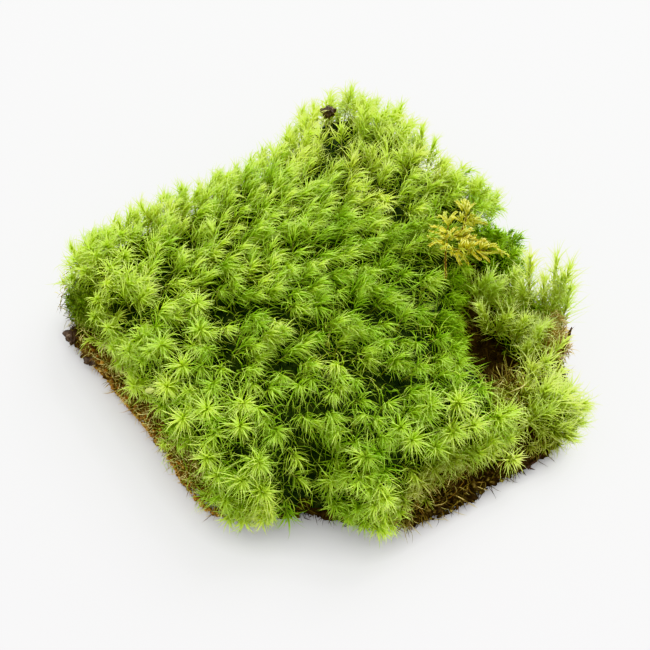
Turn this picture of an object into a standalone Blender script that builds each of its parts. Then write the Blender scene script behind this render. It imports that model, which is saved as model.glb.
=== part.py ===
"""A loose clump of broom moss, torn from the ground: a Blender 4.5 script.

The clump lies on its flat cut. A brown mat of humus and dead stems carries the green
cushion, a looser tuft beside it, a small tuft of darker moss, a sprig of feather moss
and the bits of soil, bark and litter that came up with it.

Metres, +Z up. The front is -Y and the right side +X. The origin is at the middle of the
bounding box, on the ground.
"""

import math

import bmesh
import bpy
import numpy as np
from mathutils import Matrix, Vector, noise
from mathutils.bvhtree import BVHTree
from mathutils.geometry import convex_hull_2d, delaunay_2d_cdt

MM = 0.001

# Driving sizes of the clump, in metres
MAT_THICKNESS = 8.5 * MM
CUSHION_HEIGHT = 30 * MM
SIDE_TUFT_HEIGHT = 17 * MM
DARK_TUFT_HEIGHT = 23 * MM
OVERHANG_HEIGHT = 2.5 * MM
FROND_THICKNESS = 0.8 * MM
GAP = 0.3 * MM

# Spacing, length and lean of the tufts in each cushion, in metres
CUSHION_TUFTS = (6.5 * MM, 6.0 * MM, 2.6 * MM)
SIDE_TUFTS = (6.0 * MM, 7.0 * MM, 3.0 * MM)
DARK_TUFTS = (5.2 * MM, 4.5 * MM, 1.5 * MM)

# Outlines seen from above, in millimetres, going round against the clock
CUSHION_OUTLINE = [
    (-74, 12), (-72, 22), (-58, 33), (-40, 43), (-14, 63), (-5, 78), (8, 85), (23, 77),
    (33, 59), (46, 47), (48, 37), (47, 24), (42, 10), (38, -5), (41, -18), (49, -27),
    (47, -36), (37, -45), (27, -53), (14, -64), (5, -61), (-2, -56), (-11, -60),
    (-24, -60), (-34, -49), (-45, -30), (-58, -12),
]
MAT_OUTLINE = [
    (-72, 5), (-69, 15), (-41, 36), (-15, 56), (-3, 71), (9, 76), (23, 67), (37, 51),
    (50, 35), (55, 22), (62, 14), (66, 8), (67, -4), (67, -18), (64, -32), (54, -40),
    (41.5, -48.5), (28, -57), (14, -60), (-2, -56), (-20, -57), (-33, -53), (-46.5, -31),
    (-60, -12),
]
SIDE_TUFT_OUTLINE = [
    (71, -29), (65, -18), (65.5, -4), (69, 5), (66, 12), (58, 15), (49, 11), (45, 4),
    (47, -6), (50, -14), (52, -22), (55, -32), (62, -35),
]
DARK_TUFT_OUTLINE = [(58, 22), (54, 31), (47, 33), (41, 27), (41, 15), (49, 12), (56, 15)]

# The ground that each smaller tuft keeps to itself, in millimetres
SIDE_TUFT_PLOT = [
    (42, 13), (42.5, -4), (46, -15), (50.5, -25), (54, -36), (60, -50), (90, -50), (90, 40),
    (66, 40), (59, 17), (50, 13),
]
DARK_TUFT_PLOT = [(42, 13), (50, 13), (59, 17), (66, 40), (52, 40), (45, 32), (41, 27)]

# Which way the leaves are combed: x and y in millimetres, and a bearing in degrees, with 0 to
# the right and 90 to the back
COMBING = [
    (-60, 15, 60), (-40, 28, 45), (-15, 45, 35), (0, 60, 70), (20, 62, 80), (35, 42, 30),
    (-45, 5, 15), (-20, 20, 15), (5, 30, 5), (25, 25, 0), (-30, -10, -30), (0, 0, -15),
    (25, -5, -20), (-45, -22, -120), (-20, -35, -70), (5, -35, -60), (30, -30, -40),
    (14, -55, -90), (-25, -54, -100), (65, -25, 20), (62, 5, 75),
]

# Shoots that stand up out of the side tuft: foot and tip in millimetres, and thickness
STANDING_SHOOTS = [
    ((64, 8, 8), (65, 11, 34), 7.5), ((65, 4, 8), (69, 8, 33), 7.5), ((58, 9, 8), (56, 10, 34), 7),
    ((49, 6, 8), (45, 5, 27), 8), ((50, 5, 8), (51, 3, 26), 8), ((60, 4, 8), (60, 3, 27), 8),
    ((53, -3, 8), (56, -4, 22), 7), ((50, -1, 8), (45, -2, 25), 5), ((51, -4, 8), (50, -6, 20), 5),
    ((59, -3, 8), (63, -6, 21), 6), ((63, 1, 8), (67, 2, 26), 6),
]

# Fronds of feather moss: foot and tip in millimetres, half width and pairs of branchlets
FRONDS = [
    ("feather_frond", (36, 3, 30), (36.5, 25, 31.2), 7.5, 8),
    ("feather_frond_small", (42, 13, 27), (44, 30, 28), 5, 6),
]

# Paths of the bark flake and the fallen needle, in millimetres
BARK_PATH = [(50, -42, 1.6), (53.5, -40.4, 2.4), (57, -38.6, 2.8), (58.7, -37.2, 4.6)]
NEEDLE_PATH = [(66.2, -7, 9), (67.0, -5.6, 12), (67.8, -4.4, 15), (68.4, -3.6, 18)]


# %% Helpers


def closed_curve(points, steps=12):
    """A smooth closed curve through the points: a Catmull-Rom spline, as rows of x and y."""
    p = np.asarray(points, float)
    t = np.linspace(0, 1, steps, endpoint=False)[:, None, None]
    a, b, c, d = (np.roll(p, k, axis=0)[None] for k in (1, 0, -1, -2))
    bend = (2 * a - 5 * b + 4 * c - d) * t**2 + (3 * b - a - 3 * c + d) * t**3
    curve = 0.5 * (2 * b + (c - a) * t + bend)
    return curve.transpose(1, 0, 2).reshape(-1, 2)


class Outline:
    """An outline seen from above, as a radius for each bearing round its middle."""

    def __init__(self, points_mm):
        curve = closed_curve(points_mm) * MM
        self.middle = (curve.min(axis=0) + curve.max(axis=0)) / 2
        arm = curve - self.middle
        bearing = np.arctan2(arm[:, 1], arm[:, 0])
        order = np.argsort(bearing)
        self.bearings = bearing[order]
        self.radii = np.hypot(arm[:, 0], arm[:, 1])[order]

    def radius(self, bearing):
        return float(np.interp(bearing, self.bearings, self.radii, period=2 * math.pi))

    def at(self, bearing, radius):
        x, y = self.middle
        return Vector((x + radius * math.cos(bearing), y + radius * math.sin(bearing), 0))


def combed(x, y):
    """The way the leaves are combed at a place: the entries of COMBING, weighted by nearness."""
    way = Vector((0, 0, 0))
    for px, py, bearing in COMBING:
        nearness = 1 / ((x - px * MM) ** 2 + (y - py * MM) ** 2 + (6 * MM) ** 2)
        turn = math.radians(bearing)
        way += nearness**1.5 * Vector((math.cos(turn), math.sin(turn), 0))
    return way.normalized()


def waves(point, size, seed):
    """Smooth noise from -1 to 1, with hills about size across."""
    return noise.noise(Vector(point) / size + Vector((seed, 0, 0)))


def material(name, colour, roughness=0.85):
    made = bpy.data.materials.new(name)
    made.use_nodes = True
    shader = made.node_tree.nodes["Principled BSDF"]
    shader.inputs["Base Color"].default_value = (*colour, 1)
    shader.inputs["Roughness"].default_value = roughness
    shader.inputs["Metallic"].default_value = 0.0
    return made


def add_object(name, bm, coat=None):
    """Turns a bmesh into a named object, with its material if it has one."""
    bmesh.ops.recalc_face_normals(bm, faces=bm.faces)
    mesh = bpy.data.meshes.new(name)
    bm.to_mesh(mesh)
    bm.free()
    if coat:
        mesh.materials.append(coat)
    made = bpy.data.objects.new(name, mesh)
    bpy.context.scene.collection.objects.link(made)
    return made


def combine(target, tool, operation):
    """Applies one exact Boolean, removes the tool and drops any crumb that was cut loose."""
    step = target.modifiers.new(operation.lower(), "BOOLEAN")
    step.operation = operation
    step.object = tool
    step.solver = "EXACT"
    graph = bpy.context.evaluated_depsgraph_get()
    result = bpy.data.meshes.new_from_object(target.evaluated_get(graph))
    target.modifiers.clear()
    target.data = result
    bpy.data.objects.remove(tool)
    keep_largest_body(target)


def keep_largest_body(made):
    bm = bmesh.new()
    bm.from_mesh(made.data)
    left = set(bm.verts)
    bodies = []
    while left:
        body, edge = set(), [left.pop()]
        while edge:
            vert = edge.pop()
            body.add(vert)
            near = {e.other_vert(vert) for e in vert.link_edges} & left
            left -= near
            edge.extend(near)
        bodies.append(body)
    bodies.sort(key=len)
    bmesh.ops.delete(bm, geom=[v for body in bodies[:-1] for v in body], context="VERTS")
    bm.to_mesh(made.data)
    bm.free()


def widened(points, margin):
    """A polygon with every side moved outwards by the margin; a negative margin moves it in."""
    p = np.asarray(points, float)
    if np.sum(p[:, 0] * np.roll(p[:, 1], -1) - np.roll(p[:, 0], -1) * p[:, 1]) < 0:
        p = p[::-1]
    side = np.roll(p, -1, axis=0) - p
    out = np.stack([side[:, 1], -side[:, 0]], axis=1)
    out /= np.linalg.norm(out, axis=1)[:, None]
    before = np.roll(out, 1, axis=0)
    mitre = (out + before) / (1 + np.sum(out * before, axis=1))[:, None]
    return p + margin * mitre


def prism(points_mm, margin, low=-2 * MM):
    """An upright block over a polygon, as a tool to cut with."""
    high = 60 * MM
    bm = bmesh.new()
    points = widened(points_mm, margin / MM) * MM
    floor = [bm.verts.new((x, y, low)) for x, y in points]
    roof = [bm.verts.new((x, y, high)) for x, y in points]
    bm.faces.new(floor)
    bm.faces.new(roof)
    for k in range(len(points)):
        after = (k + 1) % len(points)
        bm.faces.new((floor[k], floor[after], roof[after], roof[k]))
    return add_object("prism", bm)


# %% The mat of humus and dead stems


def mat_setback(share):
    """How far the mat's side stands in, by height from 0 at the cut to 1 at its top."""
    return 1.2 * MM * (1 - share) ** 2 + 1.5 * MM * share**2


def humus_mat(grow=0.0, coat=None):
    """A flat-bottomed slab with a crumbly side. The argument grow gives a slightly larger
    one, to cut with."""
    outline = Outline(MAT_OUTLINE)
    turns, levels = 84, 5
    bm = bmesh.new()
    rings = []
    for level in range(levels):
        share = level / (levels - 1)
        top = level == levels - 1
        ring = []
        for k in range(turns):
            bearing = 2 * math.pi * k / turns
            reach = outline.radius(bearing) - mat_setback(share)
            spot = outline.at(bearing, reach) + Vector((0, 0, share * MAT_THICKNESS))
            if 0 < level:
                reach += 1.4 * MM * (waves(spot, 5 * MM, 3) + 0.8 * waves(spot, 2.2 * MM, 8))
            place = outline.at(bearing, reach + 1.5 * grow)
            place.z = share * MAT_THICKNESS + (grow if top else 0)
            ring.append(bm.verts.new(place))
        rings.append(ring)
    for low, high in zip(rings, rings[1:]):
        for k in range(turns):
            after = (k + 1) % turns
            bm.faces.new((low[k], low[after], high[after]))
            bm.faces.new((low[k], high[after], high[k]))
    bm.faces.new(reversed(rings[0]))
    bm.faces.new(rings[-1])
    return add_object("humus_mat", bm, coat)


# %% Cushions: a tufted skin over a rounded pad


class Pad:
    """The smooth form under the tufts: a flat top, a rounded shoulder and a drop to a flat
    lip. crown and rim are heights as functions of x and y."""

    def __init__(self, outline, crown, shoulder, rim):
        self.outline = Outline(outline)
        self.crown, self.shoulder, self.rim = crown, shoulder, rim

    def run(self, bearing):
        """The radius and rim height there, and the lengths of the top, shoulder and drop."""
        radius = self.outline.radius(bearing)
        edge = self.outline.at(bearing, radius)
        rim = self.rim(edge.x, edge.y)
        fall = self.crown(edge.x, edge.y) - rim
        bend = math.pi / 2 * math.hypot(self.shoulder, fall) / math.sqrt(2)
        return radius, rim, radius - self.shoulder, bend, rim - OVERHANG_HEIGHT

    def reach(self, bearing):
        return sum(self.run(bearing)[2:])

    def place(self, bearing, along):
        """The point this far along the surface from the middle, and the way out there."""
        radius, rim, flat, bend, drop = self.run(bearing)
        out = Vector((math.cos(bearing), math.sin(bearing), 0))
        if along <= flat + bend:
            turn = max(0.0, along - flat) / bend * math.pi / 2
            spot = self.outline.at(bearing, min(along, flat) + self.shoulder * math.sin(turn))
            top = self.crown(spot.x, spot.y)
            spot.z = rim + (top - rim) * math.cos(turn)
            return spot, (Vector((0, 0, math.cos(turn))) + out * math.sin(turn)).normalized()
        share = (along - flat - bend) / drop
        spot = self.outline.at(bearing, radius - share * 1.5 * MM)
        spot.z = rim - share * drop
        return spot, out


def untangled(smooth, pushes, faces):
    """Pushes the points out, and holds back those whose faces would pass through others."""
    share = [1.0] * len(smooth)
    for _ in range(8):
        spots = [spot + push * part for spot, push, part in zip(smooth, pushes, share)]
        tree = BVHTree.FromPolygons(spots, faces)
        crossing = set()
        for one, other in tree.overlap(tree):
            if not set(faces[one]) & set(faces[other]):
                crossing.update(faces[one])
        if not crossing:
            break
        for k in crossing:
            share[k] *= 0.6
    return spots


def tufted(name, pad, tufts, seed, coat):
    """A closed cushion whose skin is a triangle lattice. Every third point is the tip of a
    tuft, pushed out and combed over, and its six neighbours are the valley round it. tufts
    is their spacing, length and lean."""
    spacing, length, lean = tufts
    rng = np.random.default_rng(seed)
    step = spacing / math.sqrt(3)
    widest = max(pad.outline.radii)
    rim_count = int(5 * widest / step)
    flat, tips, sites = [], [], []
    for k in range(rim_count):
        bearing = 2 * math.pi * k / rim_count
        reach = pad.reach(bearing)
        flat.append(Vector((reach * math.cos(bearing), reach * math.sin(bearing))))
        tips.append(False)
        sites.append((bearing, reach))
    across = int(1.7 * widest / step) + 4
    for i in range(-across, across + 1):
        for j in range(-across, across + 1):
            shift = rng.uniform(-0.24, 0.24, 2) * step
            x, y = (i + j / 2) * step + shift[0], j * math.sqrt(3) / 2 * step + shift[1]
            bearing, along = math.atan2(y, x), math.hypot(x, y)
            if along < pad.reach(bearing) - 0.7 * step:
                flat.append(Vector((x, y)))
                tips.append((i - j) % 3 == 0)
                sites.append((bearing, along))
    edge = [(k, (k + 1) % rim_count) for k in range(rim_count)]
    skin = delaunay_2d_cdt(flat, edge, [], 1, 1e-7)
    smooth, pushes = [], []
    for source in skin[3]:
        k = source[0]
        spot, out = pad.place(*sites[k])
        push = Vector((0, 0, 0))
        if tips[k]:
            way = combed(spot.x, spot.y)
            push = out * length * rng.uniform(0.4, 0.7)
            push += way * lean * rng.uniform(0.6, 1.2) * max(out.z, 0.25)
        elif k >= rim_count:
            push = -out * length * rng.uniform(0.3, 0.6)
        smooth.append(spot)
        pushes.append(push)
    bm = bmesh.new()
    verts = [bm.verts.new(spot) for spot in untangled(smooth, pushes, skin[2])]
    for face in skin[2]:
        bm.faces.new([verts[k] for k in face])
    rim = [e for e in bm.edges if e.is_boundary]
    bmesh.ops.contextual_create(bm, geom=rim)
    return add_object(name, bm, coat)


def soft_step(value, low, high):
    """0 below low, 1 above high and a soft step between."""
    share = min(1.0, max(0.0, (value - low) / (high - low)))
    return share * share * (3 - 2 * share)


def cushion_crown(x, y):
    """A low dome with soft hills, a hollow by the front edge and a crease across the back corner."""
    dome = 1 - 0.10 * (x**2 + y**2) / (70 * MM) ** 2
    hills = 2.4 * MM * waves((x, y, 0), 26 * MM, 1)
    hollow = 10 * MM * math.exp(-((x + 1 * MM) ** 2 + (y + 48 * MM) ** 2) / (6 * MM) ** 2)
    beside = (y - 54 * MM) - 0.10 * (x - 8 * MM)
    across = max(0.0, 1 - ((x - 10 * MM) / (24 * MM)) ** 2)
    crease = 5 * MM * across * math.exp(-((beside / (4 * MM)) ** 2))
    return CUSHION_HEIGHT * dome + hills - hollow - crease


def cushion_rim(x, y):
    """How high the drop starts: low in front, higher at the back."""
    return (9 + 5 * soft_step(y, -20 * MM, 40 * MM)) * MM


def main_cushion(coat):
    pad = Pad(CUSHION_OUTLINE, cushion_crown, 11 * MM, cushion_rim)
    return tufted("main_cushion", pad, CUSHION_TUFTS, 11, coat)


def side_tuft_crown(x, y):
    """Full in front, low behind, where only the standing shoots rise."""
    back = soft_step(y, -16 * MM, 0)
    return SIDE_TUFT_HEIGHT * (1 - 0.2 * back) + 1.5 * MM * waves((x, y, 0), 12 * MM, 5)


def side_tuft(coat):
    pad = Pad(SIDE_TUFT_OUTLINE, side_tuft_crown, 6 * MM, lambda x, y: 7 * MM)
    made = tufted("side_tuft", pad, SIDE_TUFTS, 5, coat)
    for foot, tip, thickness in STANDING_SHOOTS:
        combine(made, standing_shoot(foot, tip, thickness), "UNION")
    return made


def standing_shoot(foot_mm, tip_mm, thickness_mm):
    """A shoot as rings of star shape round a stem that bends up to its tip."""
    foot, tip = Vector(foot_mm) * MM, Vector(tip_mm) * MM
    knee = Vector((foot.x, foot.y, (foot.z + tip.z) / 2))
    rays = 8
    bm = bmesh.new()
    rings = []
    for share, wide in ((0.0, 0.35), (0.3, 0.55), (0.55, 1.0), (0.75, 0.8), (0.88, 0.5)):
        middle = (1 - share) ** 2 * foot + 2 * share * (1 - share) * knee + share**2 * tip
        ring = []
        for k in range(rays):
            turn = 2 * math.pi * k / rays
            outer = (k + len(rings)) % 2
            reach = thickness_mm / 2 * MM * wide * (1.0 if outer else 0.5)
            lift = 1.0 * MM if outer else 0.0
            arm = Vector((math.cos(turn) * reach, math.sin(turn) * reach, lift))
            ring.append(bm.verts.new(middle + arm))
        rings.append(ring)
    top = bm.verts.new(tip)
    for low, high in zip(rings, rings[1:]):
        for k in range(rays):
            after = (k + 1) % rays
            bm.faces.new((low[k], low[after], high[after]))
            bm.faces.new((low[k], high[after], high[k]))
    for k in range(rays):
        bm.faces.new((rings[-1][k], rings[-1][(k + 1) % rays], top))
    bm.faces.new(reversed(rings[0]))
    return add_object("standing_shoot", bm)


def dark_tuft(coat):
    def crown(x, y):
        return DARK_TUFT_HEIGHT + 1.5 * MM * waves((x, y, 0), 10 * MM, 9)

    pad = Pad(DARK_TUFT_OUTLINE, crown, 5 * MM, lambda x, y: 12 * MM)
    return tufted("dark_tuft", pad, DARK_TUFTS, 3, coat)


# %% Small pieces: each can be made a little larger, to cut its seat


def lump(name, middle_mm, half_mm, rough, seed, grow=0.0, coat=None):
    """An uneven ball: half sizes along x, y and z, and a roughness as a share of them."""
    bm = bmesh.new()
    bmesh.ops.create_icosphere(bm, subdivisions=2, radius=1.0)
    for vert in bm.verts:
        uneven = 1 + rough * waves(vert.co, 0.7, seed)
        size = Vector([half * MM * uneven + grow for half in half_mm])
        vert.co = Vector(middle_mm) * MM + vert.co * size
    return add_object(name, bm, coat)


def stick(name, points_mm, widths_mm, flat, grow=0.0, coat=None):
    """A tapered rod along a few points. flat is its height as a share of its width."""
    sides = 6
    path = [Vector(p) * MM for p in points_mm]
    bm = bmesh.new()
    rings = []
    for k, middle in enumerate(path):
        ahead = (path[min(k + 1, len(path) - 1)] - path[max(k - 1, 0)]).normalized()
        middle = middle + ahead * grow * ((k == len(path) - 1) - (k == 0))
        across = ahead.cross(Vector((0, 0, 1))).normalized()
        over = across.cross(ahead)
        wide = widths_mm[k] / 2 * MM + grow
        high = widths_mm[k] / 2 * MM * flat + grow
        turns = [2 * math.pi * n / sides for n in range(sides)]
        ring = [middle + across * wide * math.cos(t) + over * high * math.sin(t) for t in turns]
        rings.append([bm.verts.new(spot) for spot in ring])
    for low, high in zip(rings, rings[1:]):
        for n in range(sides):
            after = (n + 1) % sides
            bm.faces.new((low[n], low[after], high[after]))
            bm.faces.new((low[n], high[after], high[n]))
    bm.faces.new(rings[0])
    bm.faces.new(rings[-1])
    return add_object(name, bm, coat)


def star_shoot(grow=0.0, coat=None):
    """A loose shoot seen end on: eight rays round a raised heart, with a stub of stem behind."""
    middle = Vector((48.5, -43, 8)) * MM
    facing = Vector((0.45, -0.75, 0.5)).normalized()
    across = facing.cross(Vector((0, 0, 1))).normalized()
    over = across.cross(facing)
    rays = 8
    bm = bmesh.new()
    ring = []
    for k in range(2 * rays):
        turn = math.pi * k / rays
        reach = (1.4 if k % 2 else 5.0) * MM + 2 * grow
        droop = 0.0 if k % 2 else 1.0 * MM
        arm = across * math.cos(turn) + over * math.sin(turn)
        ring.append(bm.verts.new(middle + arm * reach + facing * droop))
    heart = bm.verts.new(middle + facing * (1.6 * MM + grow))
    stub = bm.verts.new(middle - facing * (2.5 * MM + grow))
    for k in range(2 * rays):
        after = (k + 1) % (2 * rays)
        bm.faces.new((ring[k], ring[after], heart))
        bm.faces.new((ring[after], ring[k], stub))
    return add_object("star_shoot", bm, coat)


def frond_spots(foot_mm, tip_mm, half_width_mm, pairs):
    """The points along a frond's arched axis, the way across it, and the tips of its branchlets."""
    foot, tip = Vector(foot_mm) * MM, Vector(tip_mm) * MM
    ahead = (tip - foot).normalized()
    across = ahead.cross(Vector((0, 0, 1))).normalized()
    arch = 0.8 * MM
    axis, tips = [], {-1: [], 1: []}
    for k in range(pairs + 1):
        share = k / pairs
        axis.append(foot.lerp(tip, share) + Vector((0, 0, arch * math.sin(math.pi * share))))
    for k in range(pairs):
        share = (k + 0.5) / pairs
        reach = half_width_mm * MM * (0.35 + 0.65 * math.sin(math.pi * (share * 0.8 + 0.12)))
        for side in (-1, 1):
            spot = axis[k + 1] + across * side * reach + ahead * 2.2 * MM
            tips[side].append(spot - Vector((0, 0, 0.5 * MM)))
    return axis, across, tips


def frond(name, *shape, coat=None):
    """A flat feather: pairs of pointed branchlets along an arched axis."""
    axis, across, tips = frond_spots(*shape)
    half_stem = 0.9 * MM
    bm = bmesh.new()
    rows = {side: [bm.verts.new(spot + across * side * half_stem) for spot in axis] for side in (-1, 1)}
    faces = []
    for k in range(len(axis) - 1):
        for side in (-1, 1):
            row = rows[side]
            faces.append(bm.faces.new((row[k], row[k + 1], bm.verts.new(tips[side][k]))))
        left, right = rows[-1], rows[1]
        faces.append(bm.faces.new((left[k], left[k + 1], right[k + 1], right[k])))
    grown = bmesh.ops.extrude_face_region(bm, geom=faces)
    lower = [v for v in grown["geom"] if isinstance(v, bmesh.types.BMVert)]
    bmesh.ops.translate(bm, verts=lower, vec=(0, 0, -FROND_THICKNESS))
    return add_object(name, bm, coat)


def frond_seat(*shape):
    """The room over a frond, up from just under it, as a tool to cut with."""
    axis, across, tips = frond_spots(*shape)
    spots = axis + tips[-1] + tips[1]
    flat = [(spot.x / MM, spot.y / MM) for spot in spots]
    hull = [flat[k] for k in convex_hull_2d(flat)]
    low = min(spot.z for spot in spots) - FROND_THICKNESS - GAP
    return prism(hull, 3 * GAP, low)


def small_pieces():
    """Each small piece as its maker, its arguments and its material."""
    soil = material("soil", (0.045, 0.03, 0.018), 0.95)
    bark = material("bark", (0.05, 0.033, 0.022), 0.9)
    straw = material("husk", (0.55, 0.42, 0.2), 0.6)
    needle_brown = material("needle_brown", (0.04, 0.02, 0.012), 0.6)
    return [
        (lump, ("soil_crumb_left", (-71.8, 4, 4.6), (2.4, 2.2, 2.0), 0.3, 1), soil),
        (lump, ("soil_crumb_front", (-66, -4.4, 3.4), (1.8, 1.6, 1.5), 0.3, 2), soil),
        (lump, ("soil_crumb_back", (1.0, 74, 25.5), (2.4, 1.8, 1.8), 0.35, 3), soil),
        (lump, ("seed_husk", (-46.5, -29.5, 22), (1.4, 0.9, 0.7), 0.05, 4), straw),
        (stick, ("bark_flake", BARK_PATH, (2.4, 2.8, 2.0, 0.9), 0.4), bark),
        (stick, ("needle", NEEDLE_PATH, (1.0, 1.1, 0.9, 0.4), 0.8), needle_brown),
    ]


# %% Scene


def overlap(one, other):
    """Whether the boxes of two objects meet."""
    boxes = []
    for made in (one, other):
        spots = np.array([v.co for v in made.data.vertices])
        boxes.append((spots.min(axis=0), spots.max(axis=0)))
    (low, high), (other_low, other_high) = boxes
    return bool((low < other_high).all() and (other_low < high).all())


def cut_seats(hosts, make_cutter):
    """Cuts the room for one piece out of each host that its box meets."""
    for host in hosts:
        cutter = make_cutter()
        if overlap(host, cutter):
            combine(host, cutter, "DIFFERENCE")
        else:
            bpy.data.objects.remove(cutter)


def clear_scene():
    for old in list(bpy.data.objects):
        bpy.data.objects.remove(old)


def stand_on_origin():
    """Moves everything so that the middle of the bounding box is over the origin."""
    pieces = [made for made in bpy.data.objects if made.type == "MESH"]
    spots = np.array([v.co for made in pieces for v in made.data.vertices])
    middle = (spots.min(axis=0) + spots.max(axis=0)) / 2
    for made in pieces:
        made.data.transform(Matrix.Translation((-middle[0], -middle[1], 0)))


def main():
    clear_scene()
    green = material("broom_moss", (0.22, 0.38, 0.05), 0.7)
    pale = material("pale_moss", (0.40, 0.50, 0.12), 0.7)
    dark = material("dark_moss", (0.16, 0.29, 0.04), 0.7)
    brown = material("humus", (0.10, 0.055, 0.025), 0.95)
    mat = humus_mat(coat=brown)
    cushion = main_cushion(green)
    side = side_tuft(pale)
    shade = dark_tuft(dark)
    for tuft, plot in ((side, SIDE_TUFT_PLOT), (shade, DARK_TUFT_PLOT)):
        combine(cushion, prism(plot, GAP / 2), "DIFFERENCE")
        combine(tuft, prism(plot, -GAP / 2), "INTERSECT")
    for moss in (cushion, side, shade):
        combine(moss, humus_mat(GAP), "DIFFERENCE")
    mosses = (cushion, side, shade, mat)
    for make, words, coat in small_pieces():
        make(*words, coat=coat)
        cut_seats(mosses, lambda: make(*words, grow=GAP))
    star_shoot(coat=pale)
    cut_seats(mosses, lambda: star_shoot(grow=GAP))
    yellow = material("feather_moss", (0.42, 0.38, 0.06), 0.7)
    for name, *shape in FRONDS:
        frond(name, *shape, coat=yellow)
        cut_seats(mosses, lambda: frond_seat(*shape))
    stand_on_origin()


main()
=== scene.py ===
# %% [markdown]
# # A torn clump of broom moss
#
# The real thing is a pad of moss lifted off a forest floor: some nine hundred shoots, each with
# dozens of hair-fine leaves that the wind has combed to one side, on a crumbling mat of brown humus.
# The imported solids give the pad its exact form, so the lesson starts from them, and nearly every
# leaf below finds its place by reading their surface.

import bmesh
import bpy
import numpy as np
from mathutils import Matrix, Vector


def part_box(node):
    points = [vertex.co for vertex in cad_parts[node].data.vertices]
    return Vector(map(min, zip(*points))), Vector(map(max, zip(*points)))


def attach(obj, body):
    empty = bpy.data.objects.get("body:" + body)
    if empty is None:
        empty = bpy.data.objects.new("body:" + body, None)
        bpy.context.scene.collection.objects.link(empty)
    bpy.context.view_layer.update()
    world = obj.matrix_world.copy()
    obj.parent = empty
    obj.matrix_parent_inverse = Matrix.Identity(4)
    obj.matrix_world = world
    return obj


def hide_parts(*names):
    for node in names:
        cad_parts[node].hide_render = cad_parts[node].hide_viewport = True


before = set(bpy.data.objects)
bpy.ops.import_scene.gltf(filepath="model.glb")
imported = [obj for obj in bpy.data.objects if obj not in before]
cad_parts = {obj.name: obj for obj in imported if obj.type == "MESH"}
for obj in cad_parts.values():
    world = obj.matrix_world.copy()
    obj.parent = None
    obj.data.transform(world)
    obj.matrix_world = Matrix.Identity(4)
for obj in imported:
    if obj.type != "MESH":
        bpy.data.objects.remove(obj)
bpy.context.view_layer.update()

MM = 0.001
print("solids:", sorted(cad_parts))


# %% [markdown]
# ## The camera
#
# The photograph looks down at the clump by about fifty degrees, from half a metre, with a long lens
# that keeps the far edge nearly as large as the near one. The lens, the distance and the point
# aimed at were found by laying the solids over the photograph.

# %% Camera
elevation = np.radians(50)
aim = np.array((1.8, -10.2, 14.0)) * MM
stand_off = 505 * MM
eye = bpy.data.cameras.new("photo_camera")
eye.lens, eye.sensor_width = 100, 36
camera = bpy.data.objects.new("photo_camera", eye)
camera.location = aim + stand_off * np.array((0, -np.cos(elevation), np.sin(elevation)))
camera.rotation_euler = (np.pi / 2 - elevation, 0, 0)
bpy.context.scene.collection.objects.link(camera)
bpy.context.scene.camera = camera
print("camera at", np.round(camera.location, 3))


# %% [markdown]
# ## Finishes made of nodes
#
# A finish is a little network: patterns go in at one end and the shader comes out at the other.
# Short helpers keep such a network readable. One adds a node and plugs in its inputs, whether they
# are numbers or the outputs of other nodes. Others turn a pattern from 0 to 1 into colours, lay one
# colour over another, and end the network in a surface with its roughness, gloss and relief.

# %% Helpers for finishes
def new_finish(name):
    """An empty node tree with its output node, as (material, tree, output)."""
    finish = bpy.data.materials.new(name)
    finish.use_nodes = True
    tree = finish.node_tree
    tree.nodes.clear()
    return finish, tree, tree.nodes.new("ShaderNodeOutputMaterial")


def add(tree, kind, inputs=None, **settings):
    """Adds one node, sets its settings, and sets or links each input by name or number."""
    node = tree.nodes.new("ShaderNode" + kind)
    for key, value in settings.items():
        setattr(node, key, value)
    for key, value in (inputs or {}).items():
        if isinstance(value, bpy.types.NodeSocket):
            tree.links.new(value, node.inputs[key])
        else:
            node.inputs[key].default_value = value
    return node


def colours(tree, pattern, stops):
    """Colours for a pattern from 0 to 1: stops are (place, (red, green, blue))."""
    ramp = add(tree, "ValToRGB", {"Fac": pattern})
    elements = ramp.color_ramp.elements
    while len(elements) < len(stops):
        elements.new(0.5)
    for element, (place, shade) in zip(elements, stops):
        element.position, element.color = place, (*shade, 1)
    return ramp.outputs["Color"]


def blotches(tree, size_mm, detail=3.0, rough=0.55):
    """Noise from 0 to 1 whose patches are about size_mm across, on the object's own coordinates."""
    spot = add(tree, "TexCoord").outputs["Object"]
    noise = add(tree, "TexNoise", {"Vector": spot, "Scale": 1000 / size_mm / 2})
    noise.inputs["Detail"].default_value = detail
    noise.inputs["Roughness"].default_value = rough
    return noise.outputs["Fac"]


def mixed(tree, share, one, other, blend="MIX"):
    """One colour laid over another, by share."""
    node = add(tree, "Mix", data_type="RGBA", blend_type=blend)
    for key, value in ((0, share), (6, one), (7, other)):
        if isinstance(value, bpy.types.NodeSocket):
            tree.links.new(value, node.inputs[key])
        elif key == 0:
            node.inputs[key].default_value = value
        else:
            node.inputs[key].default_value = (*value, 1)
    return node.outputs[2]


def attribute(tree, name):
    """A number that the mesh stores at each of its points."""
    return add(tree, "Attribute", attribute_name=name).outputs["Fac"]


def surface(tree, colour, rough, gloss, relief=None):
    """An opaque surface. Its relief is a pattern of height, a depth in mm and a strength."""
    inputs = {"Base Color": colour, "Roughness": rough, "Specular IOR Level": gloss}
    if relief:
        height, depth_mm, strength = relief
        bump = add(tree, "Bump", {"Height": height, "Distance": depth_mm * MM, "Strength": strength})
        inputs["Normal"] = bump.outputs[0]
    return add(tree, "BsdfPrincipled", inputs).outputs[0]


# %% [markdown]
# ## The floor and the light
#
# The clump lies on white paper under big soft lights. A bright even sky does most of the lighting
# here, and one broad lamp from the back right gives the leaves their direction of light.

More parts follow.
